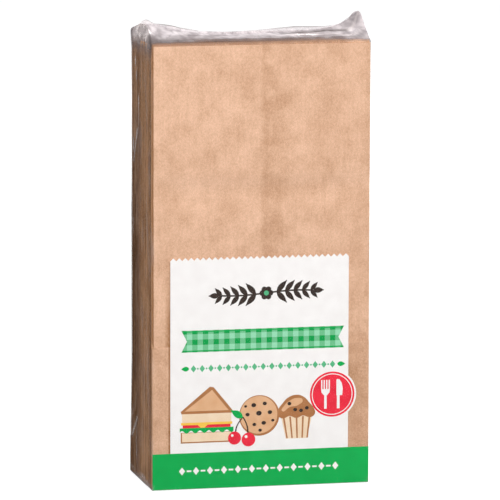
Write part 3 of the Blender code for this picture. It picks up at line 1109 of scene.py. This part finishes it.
pleats = [[(15.6 + n * 3.1, 29.2), (16.5 + n * 3.1, 29.2), (16.2 + (n - 2) * 0.9 + n * 3.1, 42.4),
           (15.1 + (n - 2) * 0.9 + n * 3.1, 42.4)] for n in range(5)]
dome = [(10.2, 43.6), (10.6, 47.2), (13.0, 50.4), (16.2, 53.8), (21.8, 55.6), (26.4, 54.2), (29.6, 50.8),
        (32.4, 47.4), (33.2, 43.8), (30.4, 41.6), (25.8, 42.8), (21.8, 41.4), (17.6, 42.8), (13.2, 41.4)]
light_dome = [(12.8, 46.0), (14.2, 49.2), (17.6, 52.2), (21.8, 53.6), (25.6, 52.4), (23.0, 49.4),
              (17.6, 48.2)]
raisins = [(17.4, 50.4), (24.6, 46.0), (21.0, 46.6), (28.2, 47.4)]
print_motif("printed_muffin", [
    (1, "crumb", [cup]),
    (2, "crust", pleats),
    (3, "crust", [dome], True),
    (4, "bread", [light_dome], True),
    (5, "dark", [circle(x, z, 1.2, 16, 0.9) for x, z in raisins]),
])


def stalk(x_low, z_low, x_high, z_high, sag):
    """A thin curved stalk between two places."""
    line = []
    for share in (n / 8 for n in range(9)):
        x = x_low + (x_high - x_low) * share + sag * math.sin(math.pi * share)
        line.append((x, z_low + (z_high - z_low) * share))
    return line + [(x + 0.8, z) for x, z in reversed(line)]


print_motif("printed_cherries", [
    (4, "dark", [stalk(-16.2, 33.6, -11.6, 43.2, -1.2)]),
    (4, "dark", [stalk(-8.6, 32.6, -11.6, 43.2, 1.0)]),
    (5, "red", [circle(-16.4, 30.6, 4.0)]),
    (5, "red", [circle(-7.8, 29.4, 4.2)]),
    (6, "white", [circle(-17.8, 32.2, 0.8, 16), circle(-9.3, 31.2, 0.9, 16)]),
    (5, "green", [leaf(-11.4, 43.0, 8.6, 4.2, 148)], True),
])
print("lunch printed")

# %% [markdown]
# The badge is a red disc on the sheet's bulge, whose edge stays white as a ring. The fork and the knife are
# drawn upright on it.

# %% Print the badge
BADGE_X, BADGE_Z = BADGE.x / MM, BADGE.z / MM


def at_badge(outline):
    """An outline moved from the origin to the badge."""
    return [(BADGE_X + x, BADGE_Z + z) for x, z in outline]


fork_tines = [bar(-6.9 + 1.55 * n, 3.0, -6.1 + 1.55 * n, 8.8) for n in range(4)]
fork_head = [(-6.9, 3.2), (-1.45, 3.2), (-1.7, 1.2), (-3.2, -0.6), (-5.15, -0.6), (-6.65, 1.2)]
fork_stem = bar(-4.95, -8.8, -3.4, 0.0)
blade = [(2.6, -0.8), (6.2, -0.8), (6.5, 3.4), (5.9, 6.6), (4.5, 8.9), (3.0, 9.2), (2.6, 8.6)]
haft = bar(2.9, -8.8, 4.6, -0.2)
ring = [at_badge(circle(0, 0, 12.6, 64)), at_badge(circle(0, 0, 12.1, 64))]
print_motif("printed_badge",
            [(1, "red", [circle(BADGE_X, BADGE_Z, 13.8, 72)]), (2, "white", ring)]
            + [(2, "white", [at_badge(outline)]) for outline in fork_tines + [fork_stem, blade]]
            + [(3, "white", [at_badge(outline)]) for outline in (fork_head, haft)])
print("badge printed")

# %% [markdown]
# ## Clear film
#
# The wrap is polypropylene film, a few hundredths of a millimetre thick, clear and glossy. It hugs the pack
# and nearly disappears on the flat front. Where it is seen at a low angle it turns into a mirror, as on the
# roof of the pack. Where it is crumpled, many small facets scatter the light and the film looks milky, with
# soft light and dark patches painted into it. Three numbers on each vertex say where: `haze` is crumpled
# film, `fold` is a sharp crease that shines and gets a painted highlight as a thin white line, and `dim` is
# painted shade, on creases that turn away from the light and where the film lies in shade.
#
# A transparent shader is the clear film, and a second shader is what the film itself sends back. How much of
# the second one shows, its `cover`, comes from the three numbers and from how low the film is seen. The
# recipe is long, so each part of it is a function: the patterns, the cover and the bumps come first.

# %% Parts of the film's recipe
def film_patterns(tree, place):
    """Painted light and shade in soft patches, and cells whose borders are creases."""
    # The patches are about 5 mm across and 12 mm deep, because the film is pulled tight from front to back.
    # The cells are pushed about, so that no crease is straight.
    pulled = add_node(tree, "Mapping", {
        "Vector": place, "Scale": (1 / (5 * MM), 1 / (12 * MM), 1 / (5 * MM))})
    patches = add_node(tree, "TexNoise", {"Vector": pulled, "Scale": 1, "Detail": 1})
    painted_patch_light = add_node(tree, "MapRange", {"Value": patches, "From Min": 0.3, "From Max": 0.7})
    push = add_node(tree, "TexNoise", {"Vector": pulled, "Scale": 0.7, "Detail": 1})
    moved = add_node(tree, "VectorMath", {0: pulled, 1: push.outputs["Color"]}, operation="ADD")
    cells = add_node(tree, "TexVoronoi", {"Vector": moved, "Scale": 0.8}, feature="DISTANCE_TO_EDGE")
    return painted_patch_light, cells


def film_cover(tree, painted_patch_light, haze, fold, dim, facing):
    """How much of the light the film itself sends back: its haze, its folds with their painted highlight, its
    painted shade and its mirror at low angles.
    """
    milky = add_node(tree, "MapRange", {"Value": painted_patch_light, "To Min": 0.75, "To Max": 1.0})
    hazy = add_node(tree, "Math", {0: milky, 1: haze}, operation="MULTIPLY")
    # Folds show their painted highlight, and dim places their painted shade.
    folded = add_node(tree, "Math", {0: fold, 1: 0.85}, operation="MULTIPLY")
    cover = add_node(tree, "Math", {0: hazy, 1: folded}, operation="MAXIMUM")
    dimmed = add_node(tree, "Math", {0: dim, 1: 0.6}, operation="MULTIPLY")
    cover = add_node(tree, "Math", {0: cover, 1: dimmed}, operation="MAXIMUM")
    mirror = add_node(tree, "MapRange", {
        "Value": facing, "From Min": 0.83, "From Max": 0.94, "To Min": 0.002, "To Max": 0.5},
        interpolation_type="SMOOTHSTEP")
    return add_node(tree, "Math", {0: cover, 1: mirror}, operation="ADD", use_clamp=True)


def film_relief(tree, place, cells, haze, fold):
    """The bumps of the film: its cells where it is crumpled, and fine crinkles along its folds."""
    height = add_node(tree, "Math", {0: cells, 1: haze}, operation="MULTIPLY")
    crinkles = add_node(tree, "TexVoronoi", {"Vector": place, "Scale": 1 / (1.8 * MM)})
    crinkled = add_node(tree, "Math", {0: crinkles, 1: fold}, operation="MULTIPLY")
    height = add_node(tree, "Math", {0: height, 1: crinkled}, operation="ADD")
    return add_node(tree, "Bump", {"Height": height, "Strength": 0.22, "Distance": 1.5 * MM})


print("parts of the film's recipe: film_patterns, film_cover and film_relief")

# %% [markdown]
# Clear film and folds are mirrors, and haze and painted shade take the shine away. Crumpled film is pinkish
# grey, with painted light and shade in soft patches and painted shade along its creases. Its outline gets a
# darker painted shade still, and its folds a nearly white painted highlight. It also lets up to a quarter of
# its scattered light through to the other side.

# %% Polypropylene film
def film_colour(tree, painted_patch_light, cells, haze, fold, painted_shade):
    """The colour of what the film itself sends back: painted light and shade from its patches and creases,
    brown painted shade, and a nearly white painted highlight on its folds.
    """
    # Painted shade along the creases, taken off the painted light and shade of the patches.
    crease = add_node(tree, "MapRange", {
        "Value": cells, "From Min": 0.0, "From Max": 0.1, "To Min": 0.4, "To Max": 0.0})
    light = add_node(tree, "Math", {0: painted_patch_light, 1: crease}, operation="SUBTRACT", use_clamp=True)
    milk = add_node(tree, "Mix", {0: light, 6: linear("#CAC1C3"), 7: linear("#F0E8E9")}, data_type="RGBA")
    hazed = add_node(tree, "MapRange", {"Value": haze, "From Max": 0.25})
    plain = add_node(tree, "Mix", {0: hazed, 6: linear("#F4F2F5"), 7: milk}, data_type="RGBA")
    # Painted shade turns the colour brown, sooner on clear film than on hazy film.
    full = add_node(tree, "MapRange", {"Value": haze, "From Max": 0.5, "To Min": 0.2, "To Max": 1.0})
    brown = add_node(tree, "Math", {0: painted_shade, 1: full}, operation="DIVIDE", use_clamp=True)
    colour = add_node(tree, "Mix", {0: brown, 6: plain, 7: linear("#4A372D")}, data_type="RGBA")
    # Painted highlight: the folds turn nearly white.
    return add_node(tree, "Mix", {0: fold, 6: colour, 7: linear("#FFF6F4")}, data_type="RGBA")


def film_material(name):
    """Clear film that turns milky by its haze, and takes a white painted highlight on its folds and a brown
    painted shade on its dim places and outline.
    """
    material, tree = new_material(name)
    place = add_node(tree, "TexCoord").outputs["Object"]
    haze, fold, dim = (add_node(tree, "Attribute", attribute_name=number).outputs["Fac"]
                       for number in ("haze", "fold", "dim"))
    facing = add_node(tree, "LayerWeight", {"Blend": 0.5}).outputs["Facing"]
    painted_patch_light, cells = film_patterns(tree, place)
    # Painted shade on the outline, where the film is seen at a low angle, weaker where it is hazy.
    clear = add_node(tree, "MapRange", {"Value": haze, "From Max": 0.6, "To Min": 1.0, "To Max": 0.15})
    outline = add_node(tree, "MapRange", {
        "Value": facing, "From Min": 0.88, "From Max": 0.97, "To Max": clear})
    painted_shade = add_node(tree, "Math", {0: dim, 1: outline}, operation="MAXIMUM")
    colour = film_colour(tree, painted_patch_light, cells, haze, fold, painted_shade)
    dull = add_node(tree, "Math", {0: painted_shade, 1: haze}, operation="MAXIMUM")
    clean = add_node(tree, "MapRange", {"Value": dull, "From Max": 0.05, "To Min": 0.9, "To Max": 0.0})
    caught = add_node(tree, "Math", {0: fold, 1: 0.8}, operation="MULTIPLY")
    metal = add_node(tree, "Math", {0: clean, 1: caught}, operation="MAXIMUM")
    rough = add_node(tree, "MapRange", {"Value": metal, "To Min": 0.5, "To Max": 0.12})
    surface = add_node(tree, "BsdfPrincipled", {
        "Base Color": colour, "Metallic": metal, "Roughness": rough, "IOR": 1.49,
        "Specular IOR Level": 0.0, "Normal": film_relief(tree, place, cells, haze, fold)})
    glow = add_node(tree, "BsdfTranslucent", {"Color": colour})
    share = add_node(tree, "MapRange", {"Value": haze, "From Max": 0.6, "To Max": 0.25})
    body = add_node(tree, "MixShader", {0: share, 1: surface, 2: glow})
    through = add_node(tree, "BsdfTransparent", {"Color": linear("#FCFCFC")})
    cover = film_cover(tree, painted_patch_light, haze, fold, dim, facing)
    film = add_node(tree, "MixShader", {0: cover, 1: through, 2: body})
    add_node(tree, "OutputMaterial", {"Surface": film})
    return material


film_clear = film_material("polypropylene_film")
bpy.context.scene.cycles.transparent_max_bounces = 32
print("the film's material has", len(film_clear.node_tree.nodes), "nodes")

# %% [markdown]
# ## The wrap
#
# The wrap starts as a box a little larger than the stack, with rounded edges, cut into a fine grid. Its roof
# is then pulled up into the two ears, which the wrapping machine leaves where it seals the end: on the right
# a sharp tent, on the left a blunt, crumpled one. The roof is a surface over two directions: one table gives
# its ridge along the width, others its front edge and its two rims, and smooth slopes lead from one to the
# other. Small facets crumple the ears, and a few long folds, drawn as painted highlights, painted shade and
# fine bumps, run down the left side and over the roof.

# %% Tables for the wrap
FILM_TOP = BAG_TOP + 0.4 * MM
FILM_BACK = FILM_HIGH.y - 0.25 * MM
FILM_SIDE = FILM_HIGH.x
FILM_THICK = 0.05 * MM
HALF_DEPTH = (FILM_BACK - FILM_LOW.y) / 2
MID_DEPTH = (FILM_BACK + FILM_LOW.y) / 2

# Along the width: x, height of the ridge over the film's flat top, and height at the back edge, in mm.
RIDGE = [(-67, 10.0, 5.0), (-62, 10.8, 3.0), (-50, 7.4, 1.0), (-40, 5.4, 0.8), (-30, 3.8, 0.8),
         (-14, 3.3, 0.8), (0, 3.2, 0.8), (24, 3.8, 0.9), (40, 4.6, 1.0), (50, 6.2, 1.2), (56, 8.3, 1.2),
         (60, 10.8, 1.4), (63, 13.0, 2.0), (67.1, 15.6, 2.2)]
# From the front edge (depth -1) back to where the roof levels out: depth, height in mm.
FRONT_RISE = [(-1, 0.5), (-0.97, 1.5), (-0.93, 2.4), (-0.85, 3.1)]
# The rims of the two sides from the front edge to the back edge: depth, height in mm.
LEFT_RIM = [(-1, 0.6), (-0.7, 6.0), (-0.4, 9.4), (-0.09, 10.8), (0.2, 9.9), (0.49, 8.2), (0.68, 7.0),
            (0.9, 5.6), (1, 4.4)]
RIGHT_RIM = [(-1, 0.8), (-0.82, 4.0), (-0.6, 8.2), (-0.4, 12.8), (-0.28, 15.8), (-0.14, 16.6), (0.04, 15.0),
             (0.4, 11.0), (0.7, 7.0), (1, 2.2)]
# Folds on the left side as places (y, z) in mm, half their width in mm, and how white its painted highlight
# and how dim its painted shade is.
SIDE_FOLDS = [
    ([(11.4, 36.6), (17, 32), (26.4, 24.2)], 2.0, 0.5, 0.0),
    ([(12.9, 30), (14, 22), (12.9, 13)], 1.9, 0.35, 0.0),
    ([(14, 52), (15.5, 46), (21, 41), (30, 36)], 1.9, 0.25, 0.0),
    ([(11.4, 212.5), (16, 205), (24, 193.1)], 2.0, 0.45, 0.0),
    ([(25.4, 158), (26, 150)], 2.0, 0.35, 0.0),
    ([(24.4, 205), (25, 200)], 2.0, 0.5, 0.0),
    ([(17.4, 255.5), (17.2, 252.5)], 1.9, 0.4, 0.0),
    ([(14.4, 247), (14.2, 244.5)], 1.9, 0.4, 0.0),
    ([(6.9, 233), (7.4, 222), (6.9, 212)], 1.9, 0.2, 0.0),
    ([(19.5, 170), (21, 140), (20, 100), (20.5, 60)], 2.6, 0.0, 0.5),
    ([(31, 165), (31.5, 120), (31, 40)], 2.2, 0.0, 0.5),
    ([(-28, 1), (-10, 3), (10, 2), (30, 5)], 1.6, 0.3, 0.0),
]
# Folds on the roof as places (x, y) in mm, in the same way.
ROOF_FOLDS = [
    ([(25, -13.8), (36, -17.2)], 2.4, 0.8, 0.0),
    ([(36, -17.2), (49, -17.9)], 2.2, 0.2, 0.0),
    ([(20, -8.5), (26, -7), (37, -7), (45, -6.6), (50, -9.7), (56, -13.8)], 2.4, 0.0, 0.6),
    ([(58, -14), (62, -10), (65, -7)], 1.8, 0.5, 0.0),
    ([(46, -24), (55, -24), (62, -22)], 2.6, 0.25, 0.0),
    ([(-52, -18), (-40, -14), (-20, -12)], 3.0, 0.0, 0.25),
    ([(2, -22), (12, -20), (24, -24)], 2.4, 0.0, 0.25),
]
print(len(SIDE_FOLDS), "folds on the side and", len(ROOF_FOLDS), "on the roof")

# %% [markdown]
# The tables are read by straight lines between their rows. A fold is strongest on its line and fades out to
# both sides. The facets of crumpled film come from Blender's Voronoi noise, whose cells have straight
# borders, as creases have.

# %% Helpers for the wrap
def between(table, place, column):
    """Reads a height off a table by straight lines between its rows."""
    for (low_place, *low), (high_place, *high) in zip(table, table[1:]):
        if place <= high_place:
            share = max(0.0, (place - low_place) / (high_place - low_place))
            return low[column] + (high[column] - low[column]) * share
    return table[-1][1 + column]


def clamp(value):
    """The value, or 0 or 1 if it lies beyond them."""
    return max(0.0, min(1.0, value))


def distance_to_line(place, line):
    """How far a place is from a folded line, in mm."""
    best = 1e9
    for low, high in zip(line, line[1:]):
        start, along = Vector(low), Vector(high) - Vector(low)
        share = clamp((place - start).dot(along) / along.length_squared)
        best = min(best, (place - start - share * along).length)
    return best


def folds_at(place, folds):
    """How much painted highlight (white) and painted shade (dim) the folds give one place."""
    white, dim = 0.0, 0.0
    for line, half_width, white_here, dim_here in folds:
        reach = clamp(1.3 - distance_to_line(place, line) / half_width)
        white = max(white, reach * white_here)
        dim = max(dim, reach * dim_here)
    return min(white, 1.0), min(dim, 1.0)


def facet(x, y, z, size):
    """Crumpled facets, drawn out from front to back: 0 along a crease and up to about 1 inside a facet."""
    near, _ = noise.voronoi(Vector((x, y * 0.5, z)) / size)
    return near[1] - near[0]


def roof_height(x, depth):
    """Height of the roof over the film's flat top, in mm, at x in mm and a depth from -1 to 1."""
    ridge, back = between(RIDGE, x, 0), between(RIDGE, x, 1)
    if depth < -0.85:
        height = between(FRONT_RISE, depth, 0)
    elif depth < 0:
        height = 3.1 + (ridge - 3.1) * ((depth + 0.85) / 0.85) ** 1.3
    else:
        height = ridge + (back - ridge) * depth ** 0.8
    rim = between(LEFT_RIM if x < 0 else RIGHT_RIM, depth, 0)
    return height + (rim - height) * clamp((abs(x) - 62) / 4)


print("the roof rises", round(roof_height(0, 0), 1), "mm in the middle and",
      round(roof_height(67, -0.2), 1), "mm at the right ear")

# %% [markdown]
# Every point of the box goes through two functions. `pull` says where the wrap is pulled to there: the roof
# rises into its ears, their facets crumple, and the sides follow the bags. `mark` then says how hazy the film
# is, and how much painted highlight and painted shade its creases and shaded places get. Both ask `zones` in
# which part of the wrap the point is, as shares from 0 to 1. All three work in millimetres.

# %% Pull and mark the film
def zones(x, y, z):
    """A point's depth, from -1 to 1, and how far it is on the roof, on an ear, and on the two sides."""
    depth = (y - MID_DEPTH / MM) / (HALF_DEPTH / MM)
    on_roof = clamp((z - 256) / 12) ** 2
    on_ear = clamp((x - 46) / 14) + clamp((-x - 34) / 22)
    return depth, on_roof, on_ear, clamp(-x - 65.5), clamp(x - 65.5)


def pull(x, y, z, zone):
    """Where the wrap is pulled to from a point of the box."""
    depth, on_roof, on_ear, on_left, on_right = zone
    lift = roof_height(x, depth)
    z += lift * on_roof
    # The crumpling is strong on the ears, light along the roof and weakest at its front edge.
    on_front = clamp((-depth - 0.93) / 0.05)
    crumple = on_roof * (0.1 + 0.9 * on_ear) * (1 - 0.85 * on_front) * clamp((lift - 1.5) / 3)
    broad = facet(x, y, z, 8.5) - 0.35
    fine = facet(x + 50, y, z, 4) - 0.4
    z += crumple * (1.1 * broad + 0.3 * fine)
    x += on_roof * (on_left * (0.5 * broad + 0.3 + 1.4 * clamp((lift - 3) / 8)) - 0.4 * on_right * broad)
    # The sides wave a little, and follow the bags in where they are pushed in at the back of the left side.
    sway = noise_at(3.3, y / 16, z / 45)
    x += 0.14 * (on_right * (sway - 1.2) - on_left * sway)
    x += 0.9 * on_left * clamp((y + 6) / 38) * clamp(z / 70) * (1 - on_roof)
    return x, y, z


def mark(x, y, z, zone):
    """How hazy the film is at one place, and how much painted highlight and painted shade it gets there."""
    depth, on_roof, on_ear, on_left, on_right = zone
    crumpled = clamp(0.3 + 0.55 * clamp((depth + 0.95) / 0.5) + 0.4 * on_ear)
    patchy = max(0.0, noise_at(7.7, y / 6, z / 22))
    side_haze = (on_left + on_right) * (0.18 * patchy + 0.2 * clamp((4 - z) / 4))
    haze = max(on_roof * crumpled * clamp((depth + 0.99) / 0.08), side_haze)
    fold = 0.0
    # Painted shade on the roof's steep front, over the bags' mouths, darker to the left.
    dim = on_roof * clamp((depth + 0.99) / 0.04) * clamp((-0.5 - depth) / 0.35) * (0.36 - 0.16 * x / 67)
    if on_left > 0 and z < 262:
        # On the left side the folds add painted highlights and painted shade, and painted shade grows towards
        # the back, where the film stands off the bags.
        fold, dark = folds_at(Vector((y, z)), SIDE_FOLDS)
        shade = 0.25 - 0.2 * clamp((z - 150) / 80) + 0.2 * noise_at(1.1, y / 3, z / 30)
        dim = max(dark, clamp((y - 1) / 14) * shade)
    elif on_left > 0:
        # Painted highlights in patches on the left ear.
        patchy = max(0.0, noise_at(y / 5, z / 4, 9.9))
        fold = clamp((z - 265) / 5) * (0.5 + 1.2 * patchy) * clamp((30 - y) / 6) * clamp((y + 24) / 8)
    elif on_roof > 0.9:
        # On the roof the folds add painted highlights and painted shade.
        fold, dark = folds_at(Vector((x, y)), ROOF_FOLDS)
        dim = max(dim, dark)
    return haze, fold, dim


def finish_film(piece, thickness, looks):
    """Gives a piece of film its three numbers, thickness, material, smooth shading and body."""
    for name, values in zip(("haze", "fold", "dim"), looks.T):
        store(piece, name, values)
    finish_with(piece, "SOLIDIFY", thickness=thickness, offset=-1)
    piece.data.materials.append(film_clear)
    smooth(piece, 40)
    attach(piece, "root")
    print(piece.name, len(piece.data.polygons), "faces")


corner = (66, -8, 267)
print("the box's point", corner, "mm is pulled to", [round(c, 1) for c in pull(*corner, zones(*corner))])

# %% [markdown]
# The grid of the box is finer near the ears and over the roof, where the film has more shape, and down the
# left side, whose folds are painted on its vertices. On the flat front the film also follows the wave of the
# paper behind it.

# %% Shape the wrap
film = new_box("film_shell", (-FILM_SIDE, FILM_LOW.y, 0), (FILM_SIDE, FILM_BACK, FILM_TOP))
edit(film)
bpy.ops.mesh.select_all(action="SELECT")
bpy.ops.mesh.bevel(offset=1.0 * MM, segments=3, affect="EDGES")
slice_up(0, steps(-FILM_SIDE, -40 * MM, 1.4 * MM) + steps(-41.5 * MM, 20 * MM, 2.6 * MM)
         + steps(21.5 * MM, FILM_SIDE, 1.4 * MM))
slice_up(1, steps(FILM_LOW.y, FILM_BACK, 1.5 * MM))
slice_up(2, steps(0, 250 * MM, 2.2 * MM) + steps(248 * MM, FILM_TOP, 1.4 * MM))
leave()
points = read_points(film)
looks = np.zeros((len(points), 3))
for number, point in enumerate(points):
    place = [c / MM for c in point]
    zone = zones(*place)
    place = pull(*place, zone)
    looks[number] = mark(*place, zone)
    point[:] = [c * MM for c in place]
    depth, on_roof = zone[:2]
    if depth < -0.97:
        point[1] -= wave(point[0], point[2]) * (1 - on_roof)
write_points(film, points)
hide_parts("film_wrap")
finish_film(film, FILM_THICK, looks)

# %% [markdown]
# ## The seal and the lap
#
# The machine welds the two layers of the wrap together across the top, and what is left over the weld stands
# up as a thin, wavy fin, which draws the pack's upper outline. Down the back the film's two edges overlap in
# a lap. Both are flat strips, cut into cells, moved into their shape and given the film's thickness.

# %% Model the seal
def film_strip(name, low, high, across, upward):
    """A flat upright strip between two corners: a thin box with only its back left, cut into cells."""
    strip = new_box(name, low, high)
    edit(strip)
    choose("FACE", lambda middle, normal: normal.y < 0.5)
    bpy.ops.mesh.delete(type="FACE")
    slice_up(0, across)
    slice_up(2, upward)
    leave()
    return strip


# The upper edge of the seal: x, height over the bags' film in mm, and how much painted shade darkens its rim.
SEAL_TOP = [(-66.6, 11.4, 0.0), (-65.7, 12.4, 0.0), (-63.8, 12.9, 0.2), (-62, 12.3, 0.6), (-60.1, 10.8, 0.9),
            (-57.7, 10.0, 0.9), (-54.6, 9.7, 0.9), (-50.9, 9.2, 0.9), (-46.5, 8.4, 0.9), (-42.2, 7.2, 0.8),
            (-37.3, 6.4, 0.5), (-32.3, 5.6, 0.3),
            (-27.4, 4.9, 0.25), (-21.9, 4.5, 0.2), (-15.7, 4.4, 0.2), (-3.3, 4.8, 0.2), (9, 5.4, 0.25),
            (21.4, 6.4, 0.6), (27.5, 7.0, 0.7), (33.7, 6.8, 0.7), (39.9, 6.7, 0.7), (46, 6.5, 0.6),
            (50.4, 7.0, 0.5), (54.1, 7.6, 0.3), (57.2, 8.7, 0.3), (60.2, 10.6, 0.3), (62.7, 12.0, 0.2),
            (64.4, 13.3, 0.2), (66.3, 14.8, 0.2)]

SEAL_LEFT, SEAL_RIGHT = SEAL_TOP[0][0] * MM, SEAL_TOP[-1][0] * MM
SEAL_HEIGHT = 10 * MM  # before it is moved to its place over the roof
SEAL_THICK = 0.08 * MM

across, upward = steps(SEAL_LEFT, SEAL_RIGHT, 1.5 * MM), [z * MM for z in (2, 4, 6, 7.5, 8.5, 9.3)]
seal = film_strip("film_seal", (SEAL_LEFT, -MM, 0), (SEAL_RIGHT, MM, SEAL_HEIGHT), across, upward)
points = read_points(seal)
looks = np.zeros((len(points), 3))
for number, point in enumerate(points):
    x, up = point[0] / MM, point[2] / SEAL_HEIGHT
    foot = roof_height(x, 0.0) - 0.4
    top = max(foot + 0.5, between(SEAL_TOP, x, 0))
    bend = noise_at(x / 11, 4.4, up / 2)
    point[1] = MID_DEPTH + (1.6 * bend * up + 0.5 * up) * MM
    point[2] = FILM_TOP + (foot + (top - foot) * up) * MM
    # The seal is hazy, and the painted shade of its rim grows towards its top.
    looks[number] = 0.5 + 0.15 * bend, 0.0, between(SEAL_TOP, x, 1) * clamp((up - 0.7) / 0.2)
write_points(seal, points)
finish_film(seal, SEAL_THICK, looks)

# %% [markdown]
# The lap is welded flat, so it only ripples a little. It is hazier than the plain film, because it is two
# layers, and its two edges shine and carry a painted highlight.

# %% Model the lap
LAP_HALF = 6 * MM
LAP_OUT = FILM_HIGH.y - 0.06 * MM
LAP_FOOT = 0.6 * MM

lap = film_strip("film_lap", (-LAP_HALF, LAP_OUT - 0.1 * MM, LAP_FOOT), (LAP_HALF, LAP_OUT, BAG_TOP),
                 [place * MM for place in (-5, -3, 0, 3, 5)], steps(LAP_FOOT, BAG_TOP, 4 * MM))
points = read_points(lap)
looks = np.zeros((len(points), 3))
for number, point in enumerate(points):
    ripple = noise_at(point[0] / (5 * MM), 2.2, point[2] / (14 * MM))
    point[1] += 0.06 * ripple * MM
    # Both edges of the lap get a painted highlight.
    looks[number] = 0.16 + 0.2 * max(0.0, ripple), 0.5 if abs(point[0]) > 5.5 * MM else 0.0, 0.0
write_points(lap, points)
finish_film(lap, FILM_THICK, looks)
